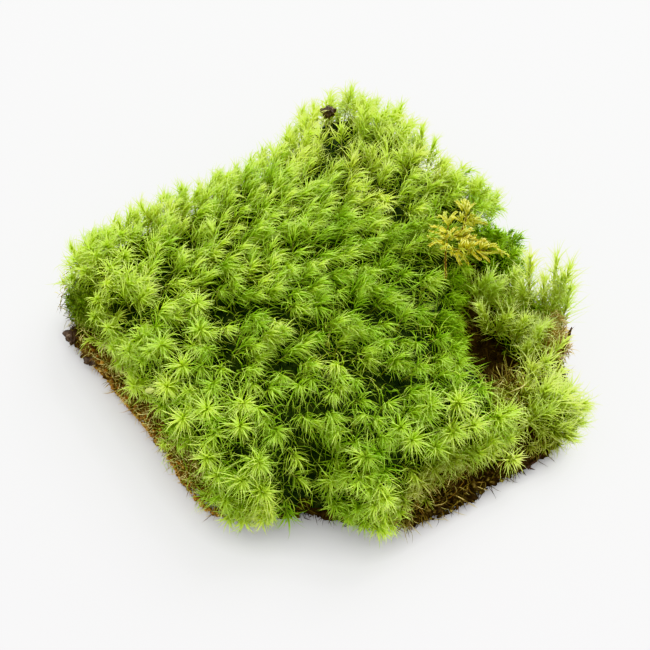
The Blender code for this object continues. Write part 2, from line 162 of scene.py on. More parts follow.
# %% Studio
floor_mesh = bpy.data.meshes.new("paper_floor")
floor_mesh.from_pydata([(-3, -3, 0), (3, -3, 0), (3, 3, 0), (-3, 3, 0)], [], [(0, 1, 2, 3)])
floor = bpy.data.objects.new("paper_floor", floor_mesh)
bpy.context.scene.collection.objects.link(floor)

paper, tree, out = new_finish("paper")
tint = colours(tree, blotches(tree, 300, 2), [(0.3, (0.545, 0.550, 0.545)), (0.7, (0.565, 0.562, 0.565))])
tree.links.new(surface(tree, tint, 0.85, 0.15), out.inputs[0])
floor_mesh.materials.append(paper)

sky = bpy.data.worlds.new("studio")
sky.use_nodes = True
background = sky.node_tree.nodes["Background"].inputs
background["Color"].default_value = (1.0, 0.995, 1.0, 1)
background["Strength"].default_value = 2.15
bpy.context.scene.world = sky

light = bpy.data.lights.new("key_lamp", "AREA")
light.size, light.energy = 0.7, 15.5
key_lamp = bpy.data.objects.new("key_lamp", light)
key_lamp.location = (0.38, 0.64, 0.62)
key_lamp.rotation_euler = key_lamp.location.normalized().to_track_quat("Z", "Y").to_euler()
bpy.context.scene.collection.objects.link(key_lamp)
bpy.context.scene.view_settings.view_transform = "Khronos PBR Neutral"
bpy.context.scene.view_settings.look = "None"


# %% [markdown]
# ## Reading the solids
#
# Each moss solid is a pad with pointed tufts. The leaves need two things from it: places spread
# evenly over its skin, and at each place the direction that is outwards for the pad as a whole,
# not for the side of one tuft. So a place's direction is a mean over all the triangles round it,
# where near and large triangles count most.

# %% Skins
def vertex_spots(mesh):
    """A mesh's vertices as rows of x, y and z."""
    spots = np.empty(len(mesh.vertices) * 3, np.float32)
    mesh.vertices.foreach_get("co", spots)
    return spots.reshape(-1, 3).astype(float)


class Skin:
    """The triangles of one solid as arrays: corners, centre, area and outward normal."""

    def __init__(self, node):
        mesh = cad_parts[node].data
        mesh.calc_loop_triangles()
        number = np.empty(len(mesh.loop_triangles) * 3, np.int32)
        mesh.loop_triangles.foreach_get("vertices", number)
        self.corners = vertex_spots(mesh)[number.reshape(-1, 3)]
        a, b, c = self.corners.transpose(1, 0, 2)
        cross = np.cross(b - a, c - a)
        self.area = np.linalg.norm(cross, axis=1) / 2 + 1e-15
        self.normal = cross / (2 * self.area[:, None])
        self.centre = (a + b + c) / 3


def unit(arrows):
    """The same directions, each of length 1."""
    return arrows / np.maximum(np.linalg.norm(arrows, axis=-1, keepdims=True), 1e-12)


def dot(one, other):
    """The dot product of matching arrows, kept as a last axis of length 1."""
    return (one * other).sum(axis=-1, keepdims=True)


def mean_skin(spots, skin, reach):
    """The pad's soft skin near each spot: mean place and direction of the triangles round it,
    weighted by area and by a bell curve of distance that is reach wide."""
    places, ways = [], []
    for some in np.array_split(spots, max(1, len(spots) // 400)):
        apart = ((some[:, None] - skin.centre[None]) ** 2).sum(axis=2)
        weight = skin.area * np.exp(-apart / reach**2)
        weight /= weight.sum(axis=1, keepdims=True)
        places.append(weight @ skin.centre)
        ways.append(weight @ skin.normal)
    return np.concatenate(places), unit(np.concatenate(ways))


def nearest(spots, others):
    """How far each spot is from the nearest of the others."""
    found = []
    for some in np.array_split(spots, max(1, len(spots) // 400)):
        found.append(np.sqrt(((some[:, None] - others[None]) ** 2).sum(axis=2)).min(axis=1))
    return np.concatenate(found)


skins = {node: Skin(node) for node in ("main_cushion", "side_tuft", "dark_tuft", "humus_mat")}
for node, skin in skins.items():
    print(f"{node}: {len(skin.area)} triangles, {skin.area.sum() * 1e4:.0f} square centimetres of skin")


# %% [markdown]
# ## Notes read off the photograph
#
# The moss isn't the same all over. Its leaves are combed right and back in the middle, hang down at
# the front, and stand out like stars along the left edge. Some places are young and bright, some
# olive, some dead and brown, and on the slope to the cleft and at the dark hollow the tone is lowered
# as painted shade. Such things are written down as notes: a place on the clump, and what is seen
# there. Between the notes, each value fades from one to the next by nearness.

# %% Notes
COMBING = np.array([  # x and y in mm, and the bearing that the leaves sweep to, in degrees
    (-58, 5, 60), (-38, 18, 45), (-13, 35, 35), (2, 50, 70), (22, 52, 80), (37, 32, 30), (-43, -5, 15),
    (-18, 10, 15), (7, 20, 5), (27, 15, 0), (-28, -20, -30), (2, -10, -15), (27, -15, -20),
    (-43, -32, -120), (-18, -45, -70), (7, -45, -60), (32, -40, -40), (16, -65, -90), (-23, -64, -100),
    (67, -35, 20), (64, -5, 75)])

LOOKS = ("x", "y", "reach", "swept", "length", "gap", "tone", "age")
NOTES = np.array([
    (-4, -10, 24, 0.95, 7.2, 4.1, 0.36, 0.02),   # the middle
    (6, -40, 15, 0.90, 7.6, 5.0, 0.36, 0.03),    # below it, where the tufts stand apart
    (-28, 8, 20, 0.95, 7.2, 3.8, 0.60, 0.0),     # upper left
    (-50, -6, 9, 0.80, 7.2, 3.8, 0.80, 0.0),     # above the left edge
    (-62, 2, 9, 0.7, 7.0, 3.8, 1.10, 0.0),       # left corner
    (-66, -6, 5, 0.3, 5.0, 4.0, 0.35, 0.35),     # grey-green patch under it
    (-45, 24, 10, 0.8, 7.0, 3.9, 1.05, 0.0),     # back left edge
    (-15, 47, 10, 0.8, 7.0, 4.1, 1.05, 0.0),     # back edge
    (10, 66, 12, 0.5, 7.2, 4.4, 1.05, 0.03),     # back corner
    (18, 36, 11, 0.8, 7.2, 4.3, 0.95, 0.16),     # olive patch
    (46, 27, 8, 0.5, 6.8, 4.5, 0.68, 0.05),      # right back edge
    (28, 8, 9, 0.7, 6.8, 4.3, 0.38, 0.12),       # behind the yellow frond
    # the next row's tone of 0 is painted shade: the leaves on the slope to the cleft are darkened to the
    # deepest green
    (33, -16, 9, 0.8, 7.0, 5.2, 0.0, 0.24),      # slope to the cleft
    (-46, -36, 9, 0.15, 7.2, 5.6, 0.55, 0.05),   # stars along the left edge
    (-36, -50, 9, 0.15, 7.2, 5.6, 0.50, 0.10),
    (-18, -66, 9, 0.5, 7.6, 5.2, 0.42, 0.10),    # front bump
    # the next row's tone of 0.02 is painted shade for the dark hollow under the front
    (0, -62, 6, 0.5, 6.5, 5.2, 0.02, 0.25),      # dark hollow
    (16, -70, 8, 0.5, 7.6, 5.0, 0.50, 0.0),      # front tip
    (34, -64, 6, 0.5, 6.0, 5.6, 0.35, 0.75),     # dead leaves over the humus
    (38, -46, 9, 0.5, 8.6, 5.6, 0.40, 0.05),     # right front stars
])


def noted(spots, look):
    """A look's value at each spot: the notes' values, weighted by bell curves of distance."""
    apart = np.linalg.norm(spots[:, None, :2] - NOTES[None, :, :2] * MM, axis=2)
    weight = np.exp(-((apart / (NOTES[:, 2] * MM)) ** 2)) + 1e-4 / (1 + apart / MM)
    return (weight * NOTES[:, LOOKS.index(look)]).sum(axis=1) / weight.sum(axis=1)


def near_any(spots, notes):
    """From 0 to 1 by the nearest of some places: rows of x, y and reach in mm."""
    apart = np.linalg.norm(spots[:, None, :2] - notes[None, :, :2] * MM, axis=2)
    return np.exp(-((apart / (notes[:, 2] * MM)) ** 2)).max(axis=1)


def combed(spots):
    """The level direction that the leaves sweep to at each spot."""
    apart = ((spots[:, None, :2] - COMBING[None, :, :2] * MM) ** 2).sum(axis=2)
    weight = (1 / (apart + (6 * MM) ** 2)) ** 1.5
    turn = np.radians(COMBING[:, 2])
    flat = np.stack([weight @ np.cos(turn), weight @ np.sin(turn), np.zeros(len(spots))], axis=1)
    return unit(flat)


print(len(COMBING), "notes on combing and", len(NOTES), "on looks")


# %% [markdown]
# ## Spacing the shoots
#
# Shoots grow as close as they can without crowding. Many spots are thrown on the skin by chance,
# and each one is kept only if no kept spot is too near. One generator with a fixed seed serves the
# whole clump, so the same moss grows each time.

# %% Scatter
rng = np.random.default_rng(7)


def thrown(skin, count, wanted=1.0):
    """Spots by chance, evenly over a skin: a triangle picked by area, then a spot inside it."""
    share = skin.area * wanted
    pick = rng.choice(len(share), count, p=share / share.sum())
    u, v = np.sqrt(rng.random(count)), rng.random(count)
    a, b, c = skin.corners[pick].transpose(1, 0, 2)
    share_b, share_c = (u * (1 - v))[:, None], (u * v)[:, None]
    return a * (1 - u)[:, None] + b * share_b + c * share_c


def spaced(spots, gaps):
    """Keeps a spot if it is further than its gap from every spot kept before it."""
    free = np.ones(len(spots), bool)
    for k in range(len(spots)):
        if free[k]:
            near = ((spots[k + 1 :] - spots[k]) ** 2).sum(axis=1) < gaps[k] ** 2
            free[k + 1 :] &= ~near
    return free


PLACE_REACH, WAY_REACH = 4.2 * MM, 6.5 * MM  # how far round a spot its place and its way are averaged
LOWEST_WAY = -0.35   # skin that faces further down than this has no shoots
BURIED = 2.6 * MM    # nor has skin that is nearer than this to another solid
CLOSER = 0.76        # shoots stand this much closer than the gaps noted between the photograph's stars


def shoot_spots(node, tries=9000, gap_mm=None):
    """Spaced spots on a moss's outer skin, with the pad's direction there. Skin that faces down
    or lies against another solid has no shoots."""
    skin = skins[node]
    spots = thrown(skin, tries)
    others = np.concatenate([skins[other].centre for other in skins if other != node])
    place, _ = mean_skin(spots, skin, PLACE_REACH)
    _, way = mean_skin(spots, skin, WAY_REACH)
    good = (way[:, 2] > LOWEST_WAY) & (nearest(spots, others) > BURIED)
    place, way = place[good], way[good]
    gaps = noted(place, "gap") * CLOSER * MM if gap_mm is None else np.full(len(place), gap_mm * MM)
    kept = spaced(place, gaps)
    return place[kept], way[kept]


# %% [markdown]
# ## One leaf: a closed pointed tube
#
# A broom moss leaf is a narrow channel that runs out into a hair. As a mesh it is a path of a few
# points with a small three-cornered ring at each, which shrinks to one point at either end. The
# same function makes the fibres, stems and needles of the clump, with other widths and more
# corners. Tens of thousands of leaves are worked out at once, as one array.

# %% Spikes
FLOOR_CLEARANCE = 0.40 * MM  # no path comes nearer to the floor than this


class Spikes:
    """Closed pointed tubes as arrays: paths (tubes, stations, 3), a way across each tube, and
    half widths and half depths for the stations between the two end points."""

    def __init__(self, paths, across, half_width, half_depth, sides=3, **numbers):
        self.paths, self.across, self.sides = paths.copy(), across, sides
        self.paths[..., 2] = np.maximum(paths[..., 2], FLOOR_CLEARANCE)
        self.half_width = np.broadcast_to(half_width, (len(paths), paths.shape[1] - 2))
        self.half_depth = np.broadcast_to(half_depth, (len(paths), paths.shape[1] - 2))
        self.numbers = {key: np.broadcast_to(value, len(paths)) for key, value in numbers.items()}

    def spots(self):
        """Ring point = path point + across x width x cosine + depthwise x depth x sine."""
        ahead = unit(np.gradient(self.paths, axis=1))[:, 1:-1]
        across = self.across[:, None]
        across = unit(across - ahead * dot(across, ahead))
        deep = np.cross(ahead, across)
        turn = 2 * np.pi * np.arange(self.sides) / self.sides + np.pi / 6
        wide = self.half_width[..., None, None] * np.cos(turn)[:, None]
        thick = self.half_depth[..., None, None] * np.sin(turn)[:, None]
        rings = self.paths[:, 1:-1, None] + across[:, :, None] * wide + deep[:, :, None] * thick
        flat = rings.reshape(len(self.paths), -1, 3)
        return np.concatenate([self.paths[:, :1], flat, self.paths[:, -1:]], axis=1)

    def pattern(self):
        """Corner numbers of one tube face by face, the faces' starts, and each corner's place
        round and along the tube, from 0 to 1."""
        rings, sides = self.paths.shape[1] - 2, self.sides
        j = np.arange(sides)
        after = (j + 1) % sides
        level = 1 + sides * np.arange(rings - 1)[:, None]
        quads = np.stack([level + j, level + after, level + sides + after, level + sides + j], axis=-1)
        top = 1 + sides * (rings - 1)
        base = np.stack([1 + after, 1 + j, np.zeros(sides, int)], axis=-1)
        tips = np.stack([top + j, top + after, np.full(sides, 1 + rings * sides)], axis=-1)
        corners = np.concatenate([base.ravel(), quads.ravel(), tips.ravel()])
        sizes = np.concatenate([np.full(sides, 3), np.full((rings - 1) * sides, 4), np.full(sides, 3)])
        height = np.repeat(np.arange(1, rings), sides)[:, None] + np.array([0, 0, 1, 1])
        around = np.tile(j, rings - 1)[:, None] + np.array([0, 1, 1, 0])
        u = [j[:, None] + np.array([1, 0, 0.5]), around, j[:, None] + np.array([0, 1, 0.5])]
        v = [np.tile((1, 1, 0), (sides, 1)), height, np.tile((rings, rings, rings + 1), (sides, 1))]
        u = np.concatenate([part.ravel() for part in u]) / sides
        v = np.concatenate([part.ravel() for part in v]) / (rings + 1)
        starts = np.concatenate([[0], np.cumsum(sizes)[:-1]])
        return corners, starts, u, v


def store(mesh, key, values):
    """Puts one number on each of the mesh's points, for a finish to read."""
    layer = mesh.attributes.new(key, "FLOAT", "POINT")
    layer.data.foreach_set("value", values.astype(np.float32))


def finished_piece(name, mesh, finish, replaced=()):
    """The mesh as a piece of the clump: it has a finish, rides on the clump's only
    body, and may stand for some of the solids."""
    mesh.materials.clear()
    mesh.materials.append(finish)
    piece = bpy.data.objects.new(name, mesh)
    bpy.context.scene.collection.objects.link(piece)
    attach(piece, "root")
    if replaced:
        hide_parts(*replaced)


def joined_mesh(name, groups, finish, slot, *replaced):
    """One piece from several groups of spikes. Each tube has its own small cell in the UV map,
    laid out in rows like stamps on a sheet, and carries its numbers on its points."""
    spots, corners, starts, cells, u_all, v_all, numbers = [], [], [], [], [], [], {}
    tubes = points = loops = 0
    keys = sorted(set().union(*(group.numbers for group in groups)))
    for group in groups:
        here = group.spots()
        pattern, first, u, v = group.pattern()
        count, size = here.shape[:2]
        index = np.arange(count)[:, None]
        spots.append(here.reshape(-1, 3))
        corners.append((pattern[None] + index * size + points).ravel())
        starts.append((first[None] + index * len(pattern) + loops).ravel())
        cells.append(np.repeat(np.arange(count) + tubes, len(pattern)))
        u_all.append(np.tile(u, count))
        v_all.append(np.tile(v, count))
        inner = np.linspace(0, 1, group.paths.shape[1])[1:-1]
        along = np.concatenate([[0.0], np.repeat(inner, group.sides), [1.0]])
        numbers.setdefault("along", []).append(np.tile(along, count))
        for key in keys:
            value = group.numbers.get(key, np.zeros(count))
            numbers.setdefault(key, []).append(np.repeat(value, size))
        tubes, points, loops = tubes + count, points + count * size, loops + count * len(pattern)
    mesh = bpy.data.meshes.new(name)
    spots, corners, starts = np.concatenate(spots), np.concatenate(corners), np.concatenate(starts)
    mesh.vertices.add(len(spots))
    mesh.vertices.foreach_set("co", spots.astype(np.float32).ravel())
    mesh.loops.add(len(corners))
    mesh.loops.foreach_set("vertex_index", corners.astype(np.int32))
    mesh.polygons.add(len(starts))
    mesh.polygons.foreach_set("loop_start", starts.astype(np.int32))
    mesh.polygons.foreach_set("use_smooth", np.ones(len(starts), bool))
    for key, values in numbers.items():
        store(mesh, key, np.concatenate(values))
    row = int(np.ceil(np.sqrt(tubes)))
    cell = np.concatenate(cells)
    u, v = np.concatenate(u_all), np.concatenate(v_all)
    flat = np.stack([(cell % row + 0.15 + 0.7 * u) / row, (cell // row + 0.1 + 0.8 * v) / row], axis=1)
    chart = mesh.uv_layers.new(name="OFBake")
    chart.data.foreach_set("uv", flat.astype(np.float32).ravel())
    mesh.update(calc_edges=True)
    mesh.validate()
    finished_piece(name, mesh, finish, replaced)
    print(f"{name}: {tubes} tubes, {len(corners) - 2 * len(starts)} triangles")


# %% [markdown]
# ## One shoot: leaves round a stem
#
# Leaves sit up the stem in a spiral, each a golden angle round from the one below, so no two stand
# over each other. A leaf starts out from the stem at an angle that is wide below and narrow at the
# growing tip, and then bends towards the way that the clump is combed. Where the moss grows in
# stars, it bends outwards and down instead.

# %% Leaves
GOLDEN_ANGLE = np.pi * (3 - np.sqrt(5))
UP = np.array((0.0, 0.0, 1.0))
CROWDING = 0.68  # a power below 1 crowds the leaves towards the top of the stem
STRAYING = 0.32  # how far a leaf's goal, an arrow of about length 1, strays by chance


class Shoots:
    """Shoots as arrays: foot, axis and sweep directions, stem length and the leaves' looks."""

    def __init__(self, foot, axis, sweep, **looks):
        self.foot, self.axis, self.sweep = foot, unit(axis), unit(sweep)
        for key, value in looks.items():
            setattr(self, key, np.broadcast_to(np.asarray(value, float), len(foot)))

    def part(self, pick):
        """Only some of the shoots."""
        given = {key: value[pick] for key, value in vars(self).items()}
        return Shoots(given.pop("foot"), given.pop("axis"), given.pop("sweep"), **given)

    def stem(self, share):
        """Place and direction at a share of the stem: straight up the axis, plus a lean to the
        sweep that grows with the square of the height."""
        high = share[..., None]
        axis, sweep, foot = (a[:, None] for a in (self.axis, self.sweep, self.foot))
        tall, lean = self.stem_length[:, None, None], self.lean[:, None, None]
        place = foot + tall * (axis * high + sweep * lean * high**2)
        return place, unit(axis + 2 * lean * high * sweep)


def leaves(shoots, per_shoot, width_mm=0.20, depth_mm=0.08, low=0.3, stations=5, only=slice(None)):
    """A leaf is an arc, like a sickle, in the plane of its start direction and its goal. Its
    direction turns from the one towards and past the other: direction = start x cosine(q) + side x
    sine(q), and q grows with the share of the length. The goal is the sweep, the leaf's own side,
    the stem's direction and a droop, added by the looks, and then it strays by chance."""
    count = len(shoots.foot)
    k = np.arange(per_shoot)[only]
    share = low + (1 - low) * ((k + rng.random((count, len(k)))) / per_shoot) ** CROWDING
    turn = k * GOLDEN_ANGLE + rng.uniform(0, 2 * np.pi, (count, 1))
    turn = turn + rng.normal(0, 0.25, (count, len(k)))
    base, axis = shoots.stem(share)
    side_ref = np.where(np.abs(axis[..., 2:]) < 0.9, UP, np.array((1.0, 0, 0)))
    side_u = unit(np.cross(axis, side_ref))
    side_v = np.cross(axis, side_u)
    outward = side_u * np.cos(turn)[..., None] + side_v * np.sin(turn)[..., None]
    height = (share - low) / (1 - low)
    wide, narrow = shoots.open_low[:, None], shoots.open_top[:, None]
    opening = np.radians(narrow + (wide - narrow) * (1 - height) ** 0.9)
    opening = opening + rng.normal(0, 0.12, opening.shape)
    start = axis * np.cos(opening)[..., None] + outward * np.sin(opening)[..., None]
    swept, flare, droop = (getattr(shoots, key)[:, None, None] for key in ("swept", "flare", "droop"))
    goal = shoots.sweep[:, None] * swept + outward * flare + axis * (0.5 * swept - 0.2) - UP * droop
    round_stem = np.cross(axis, outward) * rng.normal(0, 0.30, share.shape)[..., None]
    goal = unit(goal + round_stem + rng.normal(0, STRAYING, goal.shape))
    side = unit(goal - start * dot(goal, start))
    meet = np.arccos(np.clip(dot(start, goal)[..., 0], -0.95, 0.98))
    full = meet * shoots.bend[:, None] + shoots.curl[:, None] * rng.uniform(0.0, 1.7, meet.shape)
    length = shoots.length[:, None] * (0.64 + 0.36 * (1 - height) ** 0.6)
    length = length * rng.uniform(0.62, 1.25, length.shape)
    marks = np.linspace(0, 1, stations)
    path = [base]
    for one, two in zip(marks[:-1], marks[1:]):
        q = (full * ((one + two) / 2) ** 1.1)[..., None]
        path.append(path[-1] + (start * np.cos(q) + side * np.sin(q)) * (length * (two - one))[..., None])
    paths = np.stack(path, axis=2).reshape(-1, stations, 3)
    across = np.cross(axis, outward)
    across = unit(across + rng.normal(0, 0.35, across.shape)).reshape(-1, 3)
    profile = np.array([1.0, 0.55] if stations == 4 else [1.0, 0.70, 0.36])
    stout = rng.uniform(0.75, 1.15, len(paths))[:, None]
    tone = np.repeat(shoots.tone, len(k)) + 0.32 * (height.ravel() - 0.45)
    tone = tone + rng.normal(0, 0.12, len(paths))
    age = np.repeat(shoots.age, len(k)) + 0.45 * np.maximum(0, 0.30 - height.ravel())
    age = age + rng.normal(0, 0.06, len(paths))
    return Spikes(paths, across, profile * width_mm * MM * stout, profile * depth_mm * MM * stout,
                  tone=np.clip(tone, 0, 1), age=np.clip(age, 0, 1))


# %% [markdown]
# ## The leaf finish
#
# A living leaf is deep green at its foot and runs out pale and yellowish at its tip. It is so thin
# that light from behind glows through it, so the finish mixes an ordinary surface with a
# translucent one. Three numbers on the mesh steer the colour: how far along the leaf a point is,
# how bright its shoot is, and how old the leaf is.

# %% Leaf finish
def thin_surface(tree, front, behind, rough, glow):
    """A surface of one colour that lets a share of the light through in another."""
    through = add(tree, "BsdfTranslucent", {"Color": behind})
    shaders = {0: glow, 1: surface(tree, front, rough, 0.2), 2: through.outputs[0]}
    return add(tree, "MixShader", shaders).outputs[0]


def leaf_finish(name, deep, bright, old, glow, rough=0.5):
    """Deep to bright by tone, then towards old by age. Each is three colours along the leaf, and
    glow is the share of light that comes through it."""
    finish, tree, out = new_finish(name)
    along, tone, age = (attribute(tree, key) for key in ("along", "tone", "age"))
    ramps = [colours(tree, along, list(zip((0.0, 0.45, 1.0), shades))) for shades in (deep, bright, old)]
    green = mixed(tree, tone, ramps[0], ramps[1])
    leaf = mixed(tree, age, green, ramps[2])
    patch = colours(tree, blotches(tree, 9, 4), [(0.3, (0.80, 0.88, 0.72)), (0.7, (1.03, 1.0, 1.03))])
    leaf = mixed(tree, 1.0, leaf, patch, "MULTIPLY")
    behind = mixed(tree, 1.0, leaf, (1.0, 0.98, 0.8), "MULTIPLY")
    tree.links.new(thin_surface(tree, leaf, behind, rough, glow), out.inputs[0])
    return finish


broom_finish = leaf_finish(
    "broom_moss_leaf",
    deep=[(0.19, 0.40, 0.03), (0.31, 0.58, 0.045), (0.47, 0.72, 0.13)],
    bright=[(0.74, 0.91, 0.15), (0.84, 0.97, 0.23), (0.93, 0.98, 0.50)],
    old=[(0.09, 0.075, 0.025), (0.30, 0.27, 0.08), (0.60, 0.56, 0.28)], glow=0.54)


# %% [markdown]
# ## Shoots read one by one
#
# Along the edges of the clump each shoot stands apart, and the photograph shows it as a star of
# leaves with a crown in its middle. Such crowns are written down one by one: where the line of sight
# meets the solid, where the shoot points, how long its leaves are and how bright it is. Shoots
# spread by chance would never fall on those places.

# %% Shoots read one by one
LEFT_STARS = np.array([  # x, y and z of the crown in mm, bearing and tilt of its axis, length and tone
    (-57.0, -18.2, 22.3, -150, 45, 6.5, 0.70), (-50.8, -27.1, 22.8, -130, 45, 7.0, 0.75),
    (-55.9, -22.3, 19.1, -140, 60, 5.5, 0.70), (-49.4, -33.2, 15.8, -130, 50, 8.0, 0.95),
    (-46.8, -25.6, 27.8, 15, 40, 7.0, 0.55), (-41.6, -30.0, 29.0, -110, 25, 7.0, 0.55),
    (-39.6, -41.5, 26.0, -115, 40, 7.5, 0.85), (-35.8, -37.5, 29.7, -55, 40, 7.5, 0.60),
    (-34.9, -51.2, 25.3, -110, 45, 8.0, 0.90), (-28.7, -51.4, 29.3, -90, 30, 8.0, 0.80),
    (-41.3, -46.9, 8.0, -130, 70, 4.5, 0.75), (-28.3, -62.7, 23.4, -120, 50, 7.5, 0.95),
    (-20.0, -56.7, 29.1, -80, 45, 8.0, 0.70), (-19.4, -50.2, 29.9, -40, 45, 8.0, 0.65),
    (-15.3, -65.6, 25.7, -45, 50, 8.0, 0.70), (-25.6, -66.6, 21.4, -100, 55, 7.0, 0.75),
    (-19.9, -68.9, 22.4, -60, 55, 8.0, 0.70), (-14.3, -70.7, 19.7, -40, 60, 9.0, 0.80),
    (-13.1, -71.9, 14.5, -45, 70, 7.0, 0.80), (-32.9, -15.9, 29.7, -70, 25, 7.0, 0.75),
    (-31.6, -25.3, 29.9, -50, 35, 7.0, 0.55), (-44.9, -30.3, 27.2, -110, 35, 6.0, 0.60),
    (-61.3, -13.2, 21.5, -170, 50, 6.0, 0.80), (-60.3, -10.6, 25.2, 170, 45, 6.5, 0.85),
    (-64.8, -1.6, 26.6, 165, 45, 7.0, 0.95), (-61.8, 1.8, 29.1, 120, 30, 7.0, 1.00),
    (-67.8, 3.3, 25.8, 150, 50, 8.0, 1.00), (-68.8, -0.7, 23.1, 175, 60, 6.0, 0.85),
    (-57.7, -8.0, 28.5, 160, 35, 6.5, 0.80), (-23.7, -69.9, 15.0, -100, 70, 6.5, 0.65),
    (-22.9, -71.0, 8.7, -110, 80, 6.0, 0.80), (-19.0, -72.2, 9.2, -90, 80, 6.5, 0.85),
    (-14.5, -72.2, 10.1, -80, 80, 6.5, 0.85), (-12.5, -72.8, 12.0, -70, 75, 5.5, 0.45),
    (-57.5, -2.5, 28.8, 60, 20, 7.5, 1.00), (-54.0, 1.5, 29.6, 50, 20, 7.5, 0.95),
    (-59.0, 5.5, 29.2, 90, 20, 7.5, 1.00), (-52.5, -5.5, 29.4, 40, 20, 7.5, 0.85),
    (-64.0, 5.5, 27.6, 120, 30, 7.5, 1.00), (-55.5, 9.0, 29.8, 70, 20, 7.5, 1.00)])
FRONT_STARS = np.array([
    (4.4, -71.1, 13.9, -110, 75, 6.5, 0.30), (8.3, -73.4, 12.4, -100, 80, 6.0, 0.30),
    (11.9, -74.8, 11.2, -90, 80, 6.0, 0.45), (15.5, -74.9, 9.5, -85, 80, 7.0, 0.85),
    (18.6, -74.1, 10.1, -80, 75, 7.0, 0.75), (17.3, -72.8, 20.0, -85, 50, 8.0, 0.95),
    (10.2, -73.6, 16.8, -100, 65, 6.0, 0.30), (21.1, -72.4, 13.2, -70, 75, 6.0, 0.55),
    (3.6, -67.9, 20.2, -60, 50, 6.5, 0.45), (14.6, -74.1, 18.8, -95, 55, 7.5, 0.70)])
RIGHT_STARS = np.array([
    (36.4, -48.7, 28.3, -40, 25, 8.5, 0.85), (34.7, -55.2, 24.1, -60, 40, 8.5, 0.95),
    (29.0, -50.4, 28.9, -60, 20, 8.0, 0.60), (24.1, -59.9, 27.4, -80, 35, 8.0, 0.65),
    (21.0, -57.3, 29.1, -80, 30, 7.5, 0.50), (40.2, -51.9, 23.1, -50, 40, 8.0, 0.75),
    (45.5, -51.0, 15.3, -50, 50, 7.5, 0.65), (47.5, -47.3, 20.1, -30, 40, 8.5, 0.80),
    (42.2, -54.1, 14.2, -60, 60, 7.0, 0.60), (30.2, -59.3, 23.6, -70, 50, 7.5, 0.60),
    (50.5, -44.2, 17.8, -20, 30, 8.5, 0.90), (48.0, -49.6, 11.5, -60, 65, 6.5, 0.80),
    (45.9, -52.0, 11.0, -60, 70, 6.5, 0.75), (50.5, -48.0, 12.5, -50, 60, 6.5, 0.70)])
LOBE_STARS = np.array([  # those of the side tuft, whose long leaves all sweep up and to the right
    (58.0, -27.7, 15.8, 90, 20, 9.0, 0.95), (61.1, -35.8, 16.5, 30, 25, 10.0, 0.95),
    (65.0, -37.7, 16.3, 10, 35, 10.5, 0.95), (68.2, -38.6, 13.4, 0, 50, 9.5, 0.90),
    (66.2, -43.3, 10.4, -20, 65, 8.5, 0.75), (63.1, -31.8, 15.0, 20, 40, 8.5, 0.90),
    (67.3, -34.7, 15.0, 30, 45, 9.5, 0.95), (58.0, -38.9, 12.5, -10, 30, 10.0, 0.90),
    (61.4, -40.9, 14.3, 0, 40, 10.0, 0.90), (56.2, -33.0, 12.9, 60, 25, 9.5, 0.85),
    (70.2, -40.5, 9.0, -10, 70, 8.5, 0.85), (71.3, -37.5, 10.5, 0, 65, 8.5, 0.90),
    (68.2, -44.0, 7.5, -30, 75, 7.5, 0.70)])
OLIVE_STARS = np.array([  # the same, but dying: olive and straw
    (37.7, -57.5, 15.3, -60, 60, 6.5, 0.35), (33.6, -60.2, 17.3, -65, 60, 6.5, 0.35),
    (29.8, -62.8, 18.3, -70, 60, 6.5, 0.35), (26.3, -66.2, 17.7, -75, 65, 6.0, 0.40),
    (31.9, -62.1, 12.8, -70, 75, 5.5, 0.20), (36.5, -57.9, 9.9, -65, 75, 5.5, 0.20),
    (40.5, -55.8, 10.3, -60, 70, 5.5, 0.25), (22.1, -70.9, 15.5, -80, 75, 6.0, 0.45),
    (24.5, -68.4, 16.4, -80, 70, 6.0, 0.40), (52.7, -45.6, 11.7, -60, 55, 7.5, 0.65),
    (56.3, -42.6, 11.8, -50, 50, 8.5, 0.75), (59.8, -44.0, 10.5, -50, 60, 8.0, 0.60),
    (63.5, -43.3, 7.9, -40, 70, 7.5, 0.45), (67.0, -44.2, 7.6, -40, 75, 7.0, 0.50),
    (49.4, -47.9, 11.1, -55, 60, 7.0, 0.45), (49.1, -37.0, 16.1, 60, 40, 6.5, 0.25),
    (46.0, -39.5, 18.6, 80, 40, 6.5, 0.15), (51.5, -33.4, 14.1, 40, 40, 6.5, 0.30),
    (28.1, -65.7, 9.0, -75, 80, 5.0, 0.30), (60.5, -46.5, 7.0, -50, 80, 6.5, 0.50),
    (57.0, -47.5, 7.5, -60, 80, 6.0, 0.45), (64.5, -45.5, 6.0, -40, 80, 6.5, 0.45)])
MATTED = np.array([  # very short grey-green shoots
    (-71.1, -1.6, 17.3, 180, 60, 3.5, 0.35), (-69.0, -4.8, 18.5, 180, 50, 3.5, 0.35),
    (-67.0, -7.4, 18.9, 180, 50, 3.5, 0.30), (-65.1, -9.8, 19.2, -170, 50, 3.5, 0.30),
    (-70.0, -4.7, 14.1, -170, 70, 3.0, 0.30), (-68.0, -7.4, 15.1, -160, 65, 3.0, 0.25),
    (-66.0, -9.7, 16.4, -160, 65, 3.0, 0.25), (-63.9, -11.6, 18.7, -170, 60, 3.5, 0.30),
    (-66.3, -6.6, 21.4, 175, 45, 3.5, 0.40), (-70.4, -1.2, 12.0, 180, 75, 3.0, 0.30),
    (-68.6, -5.5, 10.8, -160, 75, 3.0, 0.25), (-69.8, -2.8, 20.2, 175, 45, 3.5, 0.40),
    (-66.8, -8.6, 11.8, -160, 75, 3.0, 0.20), (-71.6, 0.8, 14.0, 180, 75, 3.0, 0.35)])


STAR_STEM_MM = 8  # from a listed crown back to its shoot's foot
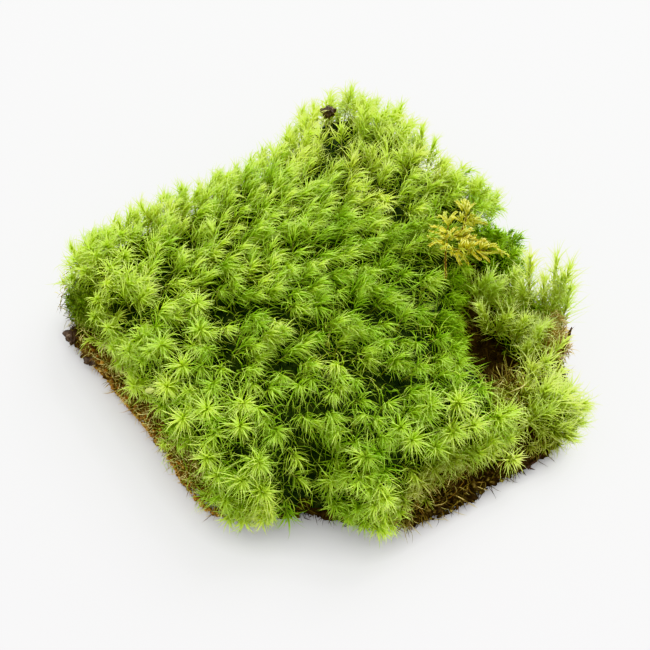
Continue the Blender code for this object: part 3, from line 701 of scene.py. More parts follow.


def crowned(rows, swept, **looks):
    """Shoots with their crowns at given places. The axis leans from upright by the tilt towards
    the bearing, and the foot lies a stem's length behind the crown."""
    turn, tilt = np.radians(rows[:, 3]), np.radians(rows[:, 4])
    axis = np.stack([np.cos(turn) * np.sin(tilt), np.sin(turn) * np.sin(tilt), np.cos(tilt)], axis=1)
    crown = rows[:, :3] * MM
    chosen = {"stem_length": STAR_STEM_MM * MM, "lean": 0.0, "length": rows[:, 5] * MM, "tone": rows[:, 6],
              "age": 0.0, "swept": swept, "flare": 0.85, "droop": 0.25, "open_low": 88.0,
              "open_top": 8.0, "bend": 0.8, "curl": 0.75}
    chosen.update(looks)
    return Shoots(crown - axis * STAR_STEM_MM * MM, axis, combed(crown), **chosen)


STARS = (LEFT_STARS, FRONT_STARS, RIGHT_STARS, LOBE_STARS, OLIVE_STARS, MATTED)
crowns = np.concatenate(STARS)[:, :3] * MM
print(len(crowns), "hand-read crowns")


# %% [markdown]
# ## Hollows and the cleft
#
# What makes moss look deep is where there is none. The dark gaps between tufts are noted as small
# balls that no crown may enter, and the cleft as a line that the cushion's shoots don't cross.
# Short passages towards the viewer keep the crumb at the back and the yellow fronds in sight.

# %% Hollows and the cleft
HOLLOWS = np.array([  # x, y and z of dark gaps between the shoots, and how wide they are, in mm
    (-25.6, -18.2, 28.4, 3.8), (-26.8, -12.6, 29.4, 2.8), (-33.6, -12.6, 29.8, 2.8),
    (-0.3, -47.9, 31.0, 3.6), (-13.5, -62.4, 27.0, 3.2), (-32.5, -46.4, 28.0, 3.4),
    (-50.2, -19.6, 25.0, 2.0), (21.1, -48.7, 27.8, 3.0), (-21.0, -42.4, 30.2, 3.0),
    (-10.0, -42.5, 29.2, 2.8), (-30.0, -33.0, 29.5, 2.2), (-14.7, 9.4, 31.6, 2.4),
    (-44.4, -33.9, 24.4, 2.8), (-7.3, -57.5, 27.1, 2.2), (26.7, -10.8, 30.3, 2.8),
    (26.8, 2.0, 30.0, 2.6), (16.5, -52.2, 30.5, 2.4), (12.1, -35.4, 30.9, 2.4),
    (-17.6, -59.0, 27.5, 2.4), (-23.8, -60.9, 26.6, 3.2), (-16.0, -46.0, 29.9, 2.4),
    (-14.9, -33.3, 30.3, 2.4), (9.8, -54.5, 30.3, 2.4), (0.1, -3.8, 29.0, 2.2),
    (30.1, 0.4, 30.0, 2.4), (-3.0, -24.8, 29.3, 2.2), (-6.5, -68.7, 17.5, 4.6),
    (-5.0, -66.8, 15.5, 5.2), (-1.5, -63.2, 19.0, 4.2), (0.2, -66.2, 13.6, 4.0),
    (-47.0, -37.0, 13.0, 4.6), (-37.5, -53.5, 13.0, 4.6), (-33.5, -58.0, 11.0, 4.2),
    (30.5, -14.0, 29.0, 2.6), (29.0, -22.0, 29.0, 2.6), (33.0, -28.5, 25.5, 2.8),
    (24.0, -18.5, 30.5, 2.2), (28.0, -33.5, 28.5, 2.4), (2.5, -31.0, 30.5, 2.6),
    (14.5, -43.5, 30.5, 2.6), (-4.5, -50.0, 29.5, 2.2), (4.5, -18.5, 30.0, 2.2),
    (-34.4, -44.9, 26.3, 3.0), (5.3, 41.9, 27.4, 3.2), (9.8, 44.5, 25.8, 3.2),
    (14.5, 45.4, 25.4, 2.6), (18.8, 42.2, 27.6, 3.0), (20.1, 34.8, 30.0, 2.6),
    (21.2, 30.4, 29.4, 2.2), (39.0, 23.0, 31.0, 3.2)])
DARK_PATCH = np.array([  # x, y and reach of places where the dark moss has grown into the cushion
    (33, -6, 5), (37, -9, 6), (41, -4, 5), (36, -15, 5), (40, 1, 5), (42, -12, 4),
    (34, -20, 4.5), (37, -21, 4.5), (33, -27, 4.5), (30, -16, 4), (31, -33, 3)])
CLEFT_EDGE = np.array([  # y and x in mm of the line where the cushion ends at the cleft
    (-47.0, 60.0), (-46.0, 45.0), (-40.1, 41.3), (-33.3, 37.8), (-26.4, 34.2), (-21.2, 31.2),
    (-14.0, 30.8), (-6.8, 31.2), (0.0, 33.0), (4.0, 38.0), (6.0, 60.0)])


TO_VIEWER = unit(np.array((0.0, -0.64, 0.77)))  # back along the camera's line of sight
CROWN_UP_MM, CROWN_OVER_MM = 2, 3.0  # a crown is this far above its place, and swept over by this
STAR_ROOM = 2.7 * MM  # how far a chance shoot keeps from a listed crown


def in_front(spots, node, wide_mm, deep_mm):
    """True where a spot lies in a round passage that starts 1 mm behind a node's middle and runs
    towards the viewer. Ahead = the spot's arm from that middle, along the passage, and across =
    the length of what is left of the arm."""
    arm = spots - np.array(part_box(node)).mean(axis=0)
    ahead = arm @ TO_VIEWER
    across = np.linalg.norm(arm - ahead[:, None] * TO_VIEWER, axis=1)
    return (across < wide_mm * MM) & (ahead > -1 * MM) & (ahead < deep_mm * MM)


def clear_of_hollows(place, way):
    """True where a shoot's crown, a little above its place and swept over, misses each hollow, each
    listed crown and each passage, and stays on the cushion's side of the cleft."""
    crown = place + way * CROWN_UP_MM * MM
    crown = crown + combed(place) * noted(place, "swept")[:, None] * CROWN_OVER_MM * MM
    apart = np.linalg.norm(crown[:, None] - HOLLOWS[None, :, :3] * MM, axis=2)
    edge = np.interp(crown[:, 1], CLEFT_EDGE[:, 0] * MM, CLEFT_EDGE[:, 1] * MM)
    free = (apart > HOLLOWS[:, 3] * MM).all(axis=1) & (crown[:, 0] < edge)
    free &= nearest(place + way * 2.5 * MM, crowns) > STAR_ROOM
    free &= ~in_front(crown, "soil_crumb_back", wide_mm=7.4, deep_mm=24)
    for frond in ("feather_frond", "feather_frond_small"):
        free &= ~in_front(crown, frond, wide_mm=5.5, deep_mm=14)
    return free & (near_any(place, DARK_PATCH) < 0.6)


# %% [markdown]
# ## The big cushion
#
# Now the shoots of the cushion are planted. Each foot goes down into the pad under its spot, and
# the stem leans a little with the combing. The leaves are shared out over a few objects by place,
# because one object with all of them would be too heavy to handle.

# %% Cushion shoots
def plant(place, way, leaning=0.3, depth_mm=6.5, tall_mm=8.3, **looks):
    """Shoots whose feet are under the places, with looks from the notes where none are given. The
    sweep is the combing, turned a little by chance and laid along the skin."""
    count = len(place)
    level, turn = combed(place), rng.normal(0, 0.55, count)
    x = level[:, 0] * np.cos(turn) - level[:, 1] * np.sin(turn)
    y = level[:, 0] * np.sin(turn) + level[:, 1] * np.cos(turn)
    sweep = np.stack([x, y, np.zeros(count)], axis=1)
    sweep = unit(sweep - way * dot(sweep, way) * 0.8)
    wobble = rng.normal(0, 0.13, (count, 3))
    axis = unit(way * 0.75 + UP * 0.25 + sweep * leaning + wobble)
    chosen = {
        "stem_length": rng.normal(tall_mm, 0.9, count) * MM,
        "lean": np.full(count, 0.25),
        "length": noted(place, "length") * 1.05 * MM * rng.normal(1, 0.07, count),
        "swept": noted(place, "swept"),
        "tone": np.clip(noted(place, "tone") + rng.normal(0, 0.15, count), 0, 1),
        "age": np.clip(noted(place, "age") + rng.normal(0, 0.04, count), 0, 1),
        "open_low": np.full(count, 66.0),
        "open_top": np.full(count, 8.0),
        "bend": np.full(count, 0.95),
        "curl": np.full(count, 0.55),
        "droop": 0.30 + 0.35 * (1 - way[:, 2]) - 0.25 * np.clip(place[:, 1] / (40 * MM), 0, 1),
    }
    chosen["flare"] = 0.95 - 0.45 * chosen["swept"]
    chosen.update(looks)
    return Shoots(place - way * depth_mm * MM, axis, sweep, **chosen)


place, way = shoot_spots("main_cushion")
free = clear_of_hollows(place, way)
place, way = place[free], way[free]
cushion_shoots = plant(place, way)
print(len(place), "shoots on the cushion,", (~free).sum(), "left out for hollows")

LEAVES_A_SHOOT, HIDDEN = 38, 8  # of a shoot's leaves the lowest are mostly hidden, and made plainer
UNDER, OVER = slice(0, HIDDEN), slice(HIDDEN, LEAVES_A_SHOOT)
from_left = np.argsort(place[:, 0], kind="stable")
for number, pick in enumerate(np.array_split(from_left, 4), 1):
    some = cushion_shoots.part(pick)
    groups = [leaves(some, LEAVES_A_SHOOT, low=0.4, stations=4, only=UNDER),
              leaves(some, LEAVES_A_SHOOT, low=0.4, only=OVER)]
    joined_mesh(f"cushion_leaves_{number}", groups, broom_finish, "broom_moss", "main_cushion")
star_groups = [leaves(crowned(LEFT_STARS, swept=0.30), 74, low=0.62),
               leaves(crowned(FRONT_STARS, swept=0.35, droop=0.4), 56, 0.18, low=0.5),
               leaves(crowned(RIGHT_STARS, swept=0.50, droop=-0.1, age=0.04), 86, 0.19, low=0.55)]
joined_mesh("edge_stars", star_groups, broom_finish, "broom_moss", "main_cushion")


# %% [markdown]
# ## Shoots on the skyline, and loose hairs
#
# Along the back edge single shoots stand out against the white floor, each a soft pointed brush.
# Their tips were found as the points where the photograph's lines of sight pass closest to the
# solid. Over the dark gaps lie thin leaves, some pale and some brown, that belong to no shoot one
# can see.

# %% Rim shoots, hairs and stems
RIM_TIPS = np.array([  # x, y and z of the shoots' tips
    (-71.9, 12.9, 22.3), (-68.7, 16.1, 17.5), (-65.0, 20.4, 19.0), (-60.6, 11.6, 29.0), (-57.4, 15.6, 30.2),
    (-54.4, 22.3, 28.0), (-51.7, 19.2, 33.4), (-45.7, 28.7, 27.5), (-40.9, 31.2, 28.6), (-35.9, 36.2, 24.0),
    (-30.5, 39.8, 25.0), (-25.0, 43.1, 25.0), (-16.9, 49.7, 25.5), (-9.4, 54.4, 27.3), (-5.1, 65.1, 27.5),
    (-1.8, 65.6, 28.0), (3.6, 67.5, 29.8), (9.4, 72.8, 28.9), (12.8, 73.0, 25.0), (17.6, 73.5, 23.5),
    (24.8, 68.3, 26.2), (30.6, 57.8, 27.0), (34.9, 53.7, 25.6), (37.0, 39.9, 30.2), (46.5, 43.5, 19.0),
    (47.5, 33.5, 28.5), (52.0, 35.9, 20.5)]) * MM
outwards = unit(RIM_TIPS * (1, 1, 0))
growing = unit(outwards * 0.35 + UP * 0.9 + rng.normal(0, 0.10, RIM_TIPS.shape))
rim_shoots = Shoots(
    RIM_TIPS - growing * 12 * MM, growing, unit(combed(RIM_TIPS) + outwards * 0.5), stem_length=9.0 * MM,
    lean=0.05, length=6.6 * MM, swept=0.45, flare=0.25, droop=-0.35, tone=0.95, age=0.0,
    open_low=55.0, open_top=8.0, bend=0.6, curl=0.5)
rim_leaves = leaves(rim_shoots, 64, 0.18, low=0.25)


def single_leaves(foot, way, sweep, opening, **looks):
    """Leaves that belong to no shoot one can see: each is to be the only leaf of a shoot with next
    to no stem, and starts out at an opening in degrees from its way."""
    return Shoots(foot, way, sweep, stem_length=0.1 * MM, lean=0.0, flare=0.0, open_low=opening,
                  open_top=opening, **looks)


def stray_hairs(node, count, length_mm, tone, age, deepest_mm=4.0, thick_mm=0.12, stations=5):
    """Single thin arcs that lie over a moss: each starts a little inside its skin, leaves by any
    level direction, and bends back down. Its tone is the given one plus 0.7 x (the noted tone of
    its place - a half), so that hairs are as bright as the moss they grow in."""
    place, way = shoot_spots(node, tries=count, gap_mm=0.0)
    count = len(place)
    level = unit(rng.normal(0, 1, (count, 3)) * (1, 1, 0.2) + combed(place) * 0.6)
    sunk = place - way * rng.uniform(0.5, 1.0, (count, 1)) * deepest_mm * MM
    tone = tone + 0.7 * (noted(place, "tone") - 0.5)
    hairs = single_leaves(sunk, unit(way + level * 0.8), level, 20.0, swept=1.0, droop=0.35,
                          length=length_mm * MM * rng.uniform(0.6, 1.3, count),
                          tone=np.clip(tone + rng.normal(0, 0.2, count), 0, 1),
                          age=np.clip(age + rng.normal(0, 0.25, count), 0, 1), bend=0.9, curl=0.7)
    return leaves(hairs, 1, thick_mm, thick_mm / 2, low=0.0, stations=stations)


def bare_stems(shoots, thick_mm=0.22):
    """The stem of each shoot as a spike along its own path, for what is seen in the gaps."""
    share = np.broadcast_to(np.linspace(0, 0.9, 4), (len(shoots.foot), 4))
    thick = np.array([1, 0.75]) * thick_mm * MM
    return Spikes(shoots.stem(share)[0], shoots.sweep, thick, thick, tone=0.1, age=0.8)


hairs = stray_hairs("main_cushion", 2400, 7.5, 0.6, 0.15)
undergrowth = stray_hairs("main_cushion", 3300, 6.5, 0.12, 0.30, deepest_mm=8.0, thick_mm=0.18, stations=4)
GAP_HAIRS = 520
over = HOLLOWS[rng.integers(0, len(HOLLOWS), GAP_HAIRS)] * MM
start = over[:, :3] + unit(rng.normal(0, 1, (GAP_HAIRS, 3)) * (1, 1, 0.3)) * over[:, 3:] - UP * 3.5 * MM
gap_hairs = single_leaves(start, unit(over[:, :3] - start + UP * 2 * MM), rng.normal(0, 1, (GAP_HAIRS, 3)),
                          15.0, length=7.0 * MM, swept=0.8, droop=0.5, tone=rng.uniform(0.1, 0.8, GAP_HAIRS),
                          age=rng.uniform(0, 0.6, GAP_HAIRS), bend=0.7, curl=0.5)
gap_leaves = leaves(gap_hairs, 1, 0.13, 0.07, low=0.0)
stray_groups = [rim_leaves, hairs, undergrowth, gap_leaves,
                bare_stems(cushion_shoots), bare_stems(rim_shoots)]
joined_mesh("rim_and_hair", stray_groups, broom_finish, "broom_moss", "main_cushion")


# %% [markdown]
# ## The thatch under the leaves
#
# Between the tufts one looks down into shade, at old brown leaves and stems. The inside is a
# closed body that follows the pad's soft skin a few millimetres down, worked out from the solid's
# own vertices: each goes to the mean place of the skin round it, and then inwards. Its colours are
# nearly black, painted shade for the depth between the tufts, with a fibrous pattern of browns and
# olive that makes it read as litter.

# %% Thatch
thatch_finish, tree, out = new_finish("thatch")
# litter with painted shade: browns and olive kept nearly black, to stand in for the shade deep between the
# tufts
litter_and_painted_shade = colours(tree, blotches(tree, 1.6, 6, 0.7), [
    (0.30, (0.002, 0.004, 0.002)), (0.48, (0.007, 0.013, 0.004)),
    (0.62, (0.022, 0.034, 0.009)), (0.78, (0.085, 0.080, 0.03))])
tree.links.new(surface(tree, litter_and_painted_shade, 0.9, 0.2, (blotches(tree, 0.8, 4), 0.4, 0.8)), out.inputs[0])
SHALLOW_MM = 1.5  # how deep the thatch lies where the skin faces sideways or down


def closed_copy(node, name):
    """A copy of a solid's mesh with its loose triangles merged into one closed skin."""
    shape = bmesh.new()
    shape.from_mesh(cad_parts[node].data)
    bmesh.ops.remove_doubles(shape, verts=shape.verts, dist=1e-7)
    mesh = bpy.data.meshes.new(name)
    shape.to_mesh(mesh)
    shape.free()
    mesh.shade_smooth()
    return mesh


def thatch(node, name, depth_mm, highest_mm=40):
    """Vertex = mean place of the skin within reach - depth x mean outward direction, no higher
    than a given height. The depth grows from shallow to depth_mm as the skin turns upwards."""
    mesh = closed_copy(node, name)
    place, way = mean_skin(vertex_spots(mesh), skins[node], 4.5 * MM)
    sunk = place - way * (SHALLOW_MM + (depth_mm - SHALLOW_MM) * np.clip(way[:, 2:], 0, 1)) * MM
    sunk[:, 2] = np.clip(sunk[:, 2], 1.0 * MM, highest_mm * MM)
    mesh.vertices.foreach_set("co", sunk.astype(np.float32).ravel())
    mesh.update()
    finished_piece(name, mesh, thatch_finish, [node])
    print(name, "sunk by", depth_mm, "mm")


thatch("main_cushion", "cushion_thatch", 6.8)
thatch("side_tuft", "side_thatch", 2.0, highest_mm=11)
thatch("dark_tuft", "dark_thatch", 2.5)


# %% [markdown]
# ## The side tuft
#
# At the right a smaller tuft has come half away from the pad. Its shoots are pale and long-leaved.
# Low ones spread like stars, and behind them a row of bare-stemmed shoots stands up like bottle
# brushes. The standing ones are listed with their feet and tips, at and between those of the solid.

# %% Side shoots
STANDING = np.array([  # foot x y z and tip x y z in mm, then leaves' length and tone
    (59.5, -2.5, 9, 58.2, 0.3, 32.0, 8.0, 0.80), (65.8, -2.2, 8, 65.8, 0.3, 31.5, 8.0, 0.90),
    (66.8, -6.2, 8, 69.6, -2.0, 31.0, 8.5, 0.95), (68.0, -9.0, 8, 69.6, -6.0, 26, 8.5, 0.95),
    (66.4, -4.5, 8, 67.4, -3.0, 26, 8.5, 0.80), (64.6, -6.5, 8, 66.0, -5.5, 22, 8.0, 0.70),
    (62.6, -6.0, 8, 62.4, -4.0, 27, 8.5, 0.90), (55.0, 0.0, 9, 54.5, 1.0, 23, 7.5, 0.60),
    (57.5, -4.5, 8, 56.5, -3.5, 24, 7.5, 0.65), (45.5, -3.0, 11, 51.5, -2.0, 21, 9.0, 0.55),
    (43.5, -2.0, 13, 48.5, -1.0, 23, 8.5, 0.50), (48.6, -10.5, 7, 43.4, -10.0, 23, 6.5, 0.80),
    (49.0, -11.0, 8, 53.0, -12.0, 19.5, 8.5, 0.80), (54.5, -14.5, 7, 56.4, -14.5, 21.5, 8.5, 0.75),
    (59.6, -14.0, 9, 63.0, -14.5, 18.5, 7.5, 0.85), (59.8, -18.0, 8, 60.2, -17.5, 21, 7.0, 0.90),
    (61.0, -12.0, 8, 59.5, -12.0, 17, 7.0, 0.55), (52.0, -5.5, 8, 53.5, -6.0, 19, 7.0, 0.40),
    (57.0, -20.5, 8, 57.0, -20.5, 17, 7.0, 0.60)])

pale_finish = leaf_finish(
    "pale_moss_leaf",
    deep=[(0.24, 0.36, 0.05), (0.48, 0.68, 0.10), (0.74, 0.86, 0.30)],
    bright=[(0.72, 0.84, 0.20), (0.88, 0.98, 0.30), (0.97, 0.99, 0.62)],
    old=[(0.09, 0.065, 0.025), (0.32, 0.27, 0.09), (0.64, 0.56, 0.26)], glow=0.55)

place, way = shoot_spots("side_tuft", gap_mm=5.2)
keep = (place[:, 2] < 19 * MM) & (place[:, 1] < -24 * MM)  # the higher and further ones are listed
keep &= nearest(place + way * 2 * MM, crowns) > 3.6 * MM
keep &= ~in_front(place + way * 2 * MM, "needle", wide_mm=7.0, deep_mm=20)
place, way = place[keep], way[keep]
side_shoots = plant(place, way, tall_mm=7.0, length=rng.normal(8.5, 0.5, len(place)) * MM, swept=0.6,
                    flare=0.45, droop=-0.45, curl=0.8,
                    tone=np.clip(rng.normal(0.75, 0.15, len(place)), 0, 1), age=0.05)
rise = STANDING[:, 3:6] - STANDING[:, :3]
longer = np.where(STANDING[:, 5] > 30, 1.2, 1.05)  # the tallest have longer leaves still
standing_shoots = Shoots(
    STANDING[:, :3] * MM, unit(rise * (0.55, 0.55, 1.0)), unit(rise * (1, 1, 0.2) + (0.5, 0.5, 0)),
    stem_length=np.linalg.norm(rise, axis=1) * 0.80 * MM, lean=0.14,
    length=STANDING[:, 6] * longer * MM, swept=0.35, flare=0.45, droop=-0.25,
    tone=STANDING[:, 7] + 0.05, age=0.0, open_low=54.0, open_top=4.0, bend=0.6, curl=0.6)
side_hairs = stray_hairs("side_tuft", 420, 8.5, 0.8, 0.15)
lobe_stars = crowned(LOBE_STARS, swept=0.55, droop=-0.35, flare=0.5, curl=0.7)
olive_stars = crowned(OLIVE_STARS, swept=0.2, droop=0.35, age=0.60 - 0.5 * OLIVE_STARS[:, 6])
side_groups = [leaves(side_shoots, 44), leaves(standing_shoots, 112, 0.21, low=0.12), side_hairs,
               leaves(lobe_stars, 78, 0.19, low=0.4), leaves(olive_stars, 48, 0.18, low=0.5),
               bare_stems(side_shoots), bare_stems(standing_shoots, 0.25)]
joined_mesh("side_leaves", side_groups, pale_finish, "pale_moss", "side_tuft")


# %% [markdown]
# ## The dark tuft
#
# A second kind of moss grows between the cushion and the standing shoots, and in a patch into the
# cushion. Its leaves are short and deep green, close round upright stems, so the whole reads as a
# darker, finer texture.

# %% Dark shoots
dark_finish = leaf_finish(
    "dark_moss_leaf",
    deep=[(0.05, 0.10, 0.01), (0.14, 0.32, 0.015), (0.26, 0.46, 0.04)],
    bright=[(0.14, 0.24, 0.02), (0.36, 0.60, 0.04), (0.60, 0.80, 0.15)],
    old=[(0.04, 0.03, 0.01), (0.10, 0.08, 0.02), (0.3, 0.26, 0.09)], glow=0.25, rough=0.4)
place, way = shoot_spots("dark_tuft", gap_mm=3.3)
dark_shoots = plant(place, way, tall_mm=6.5, length=rng.normal(5.0, 0.4, len(place)) * MM, swept=0.55,
                    flare=0.5, tone=np.clip(rng.normal(0.42, 0.2, len(place)), 0, 1), age=0.02,
                    open_low=75.0, open_top=20.0, bend=0.6, curl=0.3)
place, way = shoot_spots("main_cushion", gap_mm=3.6)
here = near_any(place, DARK_PATCH) > 0.5
place, way = place[here], way[here]
patch_shoots = plant(place, way, depth_mm=7.5, tall_mm=6.5, length=rng.normal(5.5, 0.5, len(place)) * MM,
                     swept=0.6, flare=0.5, tone=np.clip(rng.normal(0.38, 0.2, len(place)), 0, 1), age=0.05,
                     open_low=75.0, open_top=20.0, bend=0.6, curl=0.4)


# %% [markdown]
# ## Grey and inner leaves
#
# Under the left corner very short shoots lie matted in layers, grey-green and half dead. And
# between the standing stems one looks in at dark leaves of no shoot in particular. Both are as
# short and dull as the dark moss, so they share its object and its finish.

# %% Matted shoots and inner leaves
below = MATTED + (0.9, -0.6, -1.2, 15, 0, 0, -0.1)
behind = MATTED + (2.0, 0.8, 1.5, 15, -15, 0.5, -0.1)
layers = np.concatenate([MATTED, below, behind])
layers = layers + rng.normal(0, 1, layers.shape) * (0.6, 0.6, 0.6, 25, 10, 0.5, 0.15)
worn_out = np.clip(rng.normal(0.5, 0.2, len(layers)), 0, 1)
matted = crowned(layers + (0, 0, 0, 0, 0, 0.6, 0), swept=0.3, age=worn_out, flare=0.6, open_top=30.0,
                 curl=1.1)
INNER_LEAVES = 620
inner = np.column_stack([rng.normal(57.5, 4.0, INNER_LEAVES), rng.normal(-7.0, 5.0, INNER_LEAVES),
                         rng.uniform(6, 17, INNER_LEAVES)]) * MM
rising = unit(rng.normal(0, 0.8, (INNER_LEAVES, 3)) + UP)
inner_leaves = single_leaves(inner, rising, rng.normal(0, 1, (INNER_LEAVES, 3)), 20.0, length=6.5 * MM,
                             swept=0.7, droop=0.1, tone=rng.uniform(0, 0.45, INNER_LEAVES),
                             age=rng.uniform(0, 0.7, INNER_LEAVES), bend=0.7, curl=0.5)
DARK_CROWNS = np.array([  # crowns of the dark tuft that stand out, as the stars' above
    (46.8, 17.5, 24.5, 60, 20, 5.5, 0.35), (48.6, 19.5, 23.5, 60, 25, 5.5, 0.40),
    (50.3, 17.0, 23.5, 40, 30, 5.5, 0.35), (48.0, 14.5, 25.0, 40, 20, 5.5, 0.25),
    (51.8, 14.5, 24.0, 30, 30, 5.5, 0.40), (45.0, 15.0, 25.5, 60, 15, 5.0, 0.20)])
dark_crowns = crowned(DARK_CROWNS, swept=0.4, flare=0.5, curl=0.4)
deeper_mm = 6  # their stems go down further than the stars' do
dark_crowns.foot -= dark_crowns.axis * deeper_mm * MM
dark_crowns.stem_length = dark_crowns.stem_length + deeper_mm * MM
dark_groups = [leaves(dark_crowns, 60, low=0.35, stations=4), leaves(dark_shoots, 54, low=0.1, stations=4),
               leaves(patch_shoots, 44, low=0.2, stations=4), leaves(matted, 36, 0.19, low=0.4, stations=4),
               leaves(inner_leaves, 1, 0.22, 0.10, low=0.0, stations=4)]
joined_mesh("dark_leaves", dark_groups, dark_finish, "dark_moss", "dark_tuft")


# %% [markdown]
# ## The humus mat
#
# Under the moss lies a crumbling mat of dead leaves and roots. Its outline comes from the solid: the
# radius at each bearing round its middle. On that smooth wall a finer grid adds crumbs, with closed
# lids above and below. Along the left edge the mat is rust and tan, at the front right it is nearly
# black, so each point stores how rusty it is, by nearness to a few noted places. The dark soil is made
# darker still all over, as painted shade for the lid that is seen at the floor of the cleft.

# %% Mat wall
RUST = np.array([  # x, y and reach of the rusty places, in mm
    (-59, -19, 13), (-52, -28, 13), (-46, -38, 13), (-38, -51, 12), (-30, -60, 9)])


def ripples(u, v, counts, seed):
    """Seamless noise on a bearing u and height v: five sines of whole-number turns for each of
    some counts, summed, where the finer ones are lower."""
    chance = np.random.default_rng(seed)
    total = np.zeros(np.broadcast(u, v).shape)
    for count in counts:
        for _ in range(5):
            turns = chance.integers(count // 2, count)
            tilt, shift = chance.normal(0, count / 8), chance.uniform(0, 2 * np.pi)
            total += np.sin(turns * u + tilt * v + shift) / (count / counts[0]) ** 0.35
    return total / 3


def grid_piece(name, grid, finish, node, numbers=None):
    """A closed piece from a grid of spots (levels, steps, 3): walls between the levels, and a fan
    to the middle of the first and of the last level."""
    levels, steps = grid.shape[:2]
    row, after = np.arange(steps), (np.arange(steps) + 1) % steps
    level = steps * np.arange(levels - 1)[:, None]
    walls = np.stack([level + row, level + after, level + steps + after, level + steps + row], axis=-1)
    first, last = steps * levels, steps * levels + 1
    top = steps * (levels - 1)
    lids = np.concatenate([np.stack([after, row, np.full(steps, first)], axis=-1),
                           np.stack([top + row, top + after, np.full(steps, last)], axis=-1)])
    ends = np.stack([grid[0].mean(axis=0), grid[-1].mean(axis=0)])
    mesh = bpy.data.meshes.new(name)
    faces = walls.reshape(-1, 4).tolist() + lids.tolist()
    mesh.from_pydata(np.concatenate([grid.reshape(-1, 3), ends]).tolist(), [], faces)
    for key, values in (numbers or {}).items():
        store(mesh, key, np.append(values.ravel(), [values[0].mean(), values[-1].mean()]))
    mesh.shade_smooth()
    finished_piece(name, mesh, finish, [node])
    print(f"{name}: {levels} x {steps} grid, {2 * steps * levels} triangles")


humus_finish, tree, out = new_finish("humus")
crumbs = blotches(tree, 1.6, 6, 0.75)
# dark humus, made nearly black all over as painted shade for the mat's lid at the floor of the cleft
dark_soil_and_cleft_shade = colours(tree, crumbs, [(0.30, (0.005, 0.003, 0.002)), (0.50, (0.020, 0.013, 0.007)),
                                   (0.62, (0.050, 0.033, 0.018)), (0.76, (0.13, 0.095, 0.05))])
rust_soil = colours(tree, crumbs, [(0.30, (0.015, 0.009, 0.004)), (0.46, (0.07, 0.040, 0.016)),
                                   (0.58, (0.22, 0.13, 0.045)), (0.72, (0.42, 0.29, 0.11))])
humus_colour = mixed(tree, attribute(tree, "rust"), dark_soil_and_cleft_shade, rust_soil)
earth = surface(tree, humus_colour, 0.95, 0.15, (blotches(tree, 0.7, 6, 0.75), 0.8, 1.0))
tree.links.new(earth, out.inputs[0])


SLICE = 2 * np.pi / 90  # the solid's radius at a bearing is its largest within this of it
SET_BACK = 2.0 * MM     # how far the wall stays behind that radius
NOTCH_BEARING, NOTCH_WIDTH = -2.05, 0.16  # in radians, from the right and against the clock


def mat_wall(steps=720, levels=18):
    """Spot at bearing a and share h = middle + radius x (cos a, sin a), at h of the height. The
    radius is the solid's own by bearing, smoothed, 2 mm in and leaning in, with a soft bulge,
    crumbs and the notch below the hollow at the front."""
    spots = vertex_spots(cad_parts["humus_mat"].data)
    low, high = spots.min(axis=0), spots.max(axis=0)
    middle = (low + high)[:2] / 2
    arm = spots[:, :2] - middle
    bearing, radius = np.arctan2(arm[:, 1], arm[:, 0]), np.hypot(arm[:, 0], arm[:, 1])
    a, h = np.linspace(-np.pi, np.pi, steps, endpoint=False), np.linspace(0, 1, levels)[:, None]
    gap = np.abs((a[:, None] - bearing[None] + np.pi) % (2 * np.pi) - np.pi)
    outer = np.where(gap < SLICE, radius[None], 0).max(axis=1)
    smooth = np.convolve(np.concatenate([outer[-6:], outer, outer[:6]]), np.ones(13) / 13, "valid")
    bulge = 1.0 * MM * np.sin(np.pi * h) - 3.0 * MM * h**2
    crumb = ripples(a, 6 * h, (24, 60, 130, 250), 5) * (1.3 * MM)
    r = smooth - SET_BACK + bulge + crumb * (0.35 + 0.65 * np.sin(np.pi * np.clip(h * 1.4, 0, 1)))
    r = r - 2.2 * MM * np.exp(-((a - NOTCH_BEARING) / NOTCH_WIDTH) ** 2)
    z = h * high[2] + ripples(a, 4 * h, (40, 90, 200), 8) * 0.6 * MM * np.sin(np.pi * h)
    grid = np.stack([middle[0] + r * np.cos(a), middle[1] + r * np.sin(a), np.clip(z, 0, None)], axis=-1)
    rust = near_any(grid.reshape(-1, 3), RUST).reshape(levels, steps) * np.clip(1.5 - 1.2 * h, 0.2, 1)
    return grid, {"rust": rust}


mat_grid, mat_numbers = mat_wall()
grid_piece("humus_body", mat_grid, humus_finish, "humus_mat", mat_numbers)


# %% [markdown]
# ## Roots, dead leaves and crumbs
#
# A torn edge is never a clean wall. Fine roots and dead leaves hang out of it in curls, and crumbs
# cling between them. Both are spikes again: a fibre is long, thin and wandering, and a crumb is so
# short and stout that it reads as a grain. Each carries a shade from dark soil to straw, and rust.

# %% Fibres and crumbs
fibre_finish, tree, out = new_finish("fibre")
shade = attribute(tree, "tone")
brown = colours(tree, shade, [(0.0, (0.014, 0.009, 0.005)), (0.35, (0.065, 0.045, 0.018)),
                              (0.7, (0.26, 0.22, 0.07)), (1.0, (0.60, 0.56, 0.24))])
rusty = colours(tree, shade, [(0.0, (0.05, 0.022, 0.008)), (0.4, (0.26, 0.12, 0.03)),
                              (0.75, (0.50, 0.31, 0.08)), (1.0, (0.66, 0.54, 0.24))])
worn = colours(tree, blotches(tree, 2, 4), [(0.3, (0.75, 0.72, 0.7)), (0.7, (1.1, 1.08, 1.0))])
fibre_colour = mixed(tree, 1.0, mixed(tree, attribute(tree, "rust"), brown, rusty), worn, "MULTIPLY")
tree.links.new(surface(tree, fibre_colour, 0.8, 0.2), out.inputs[0])


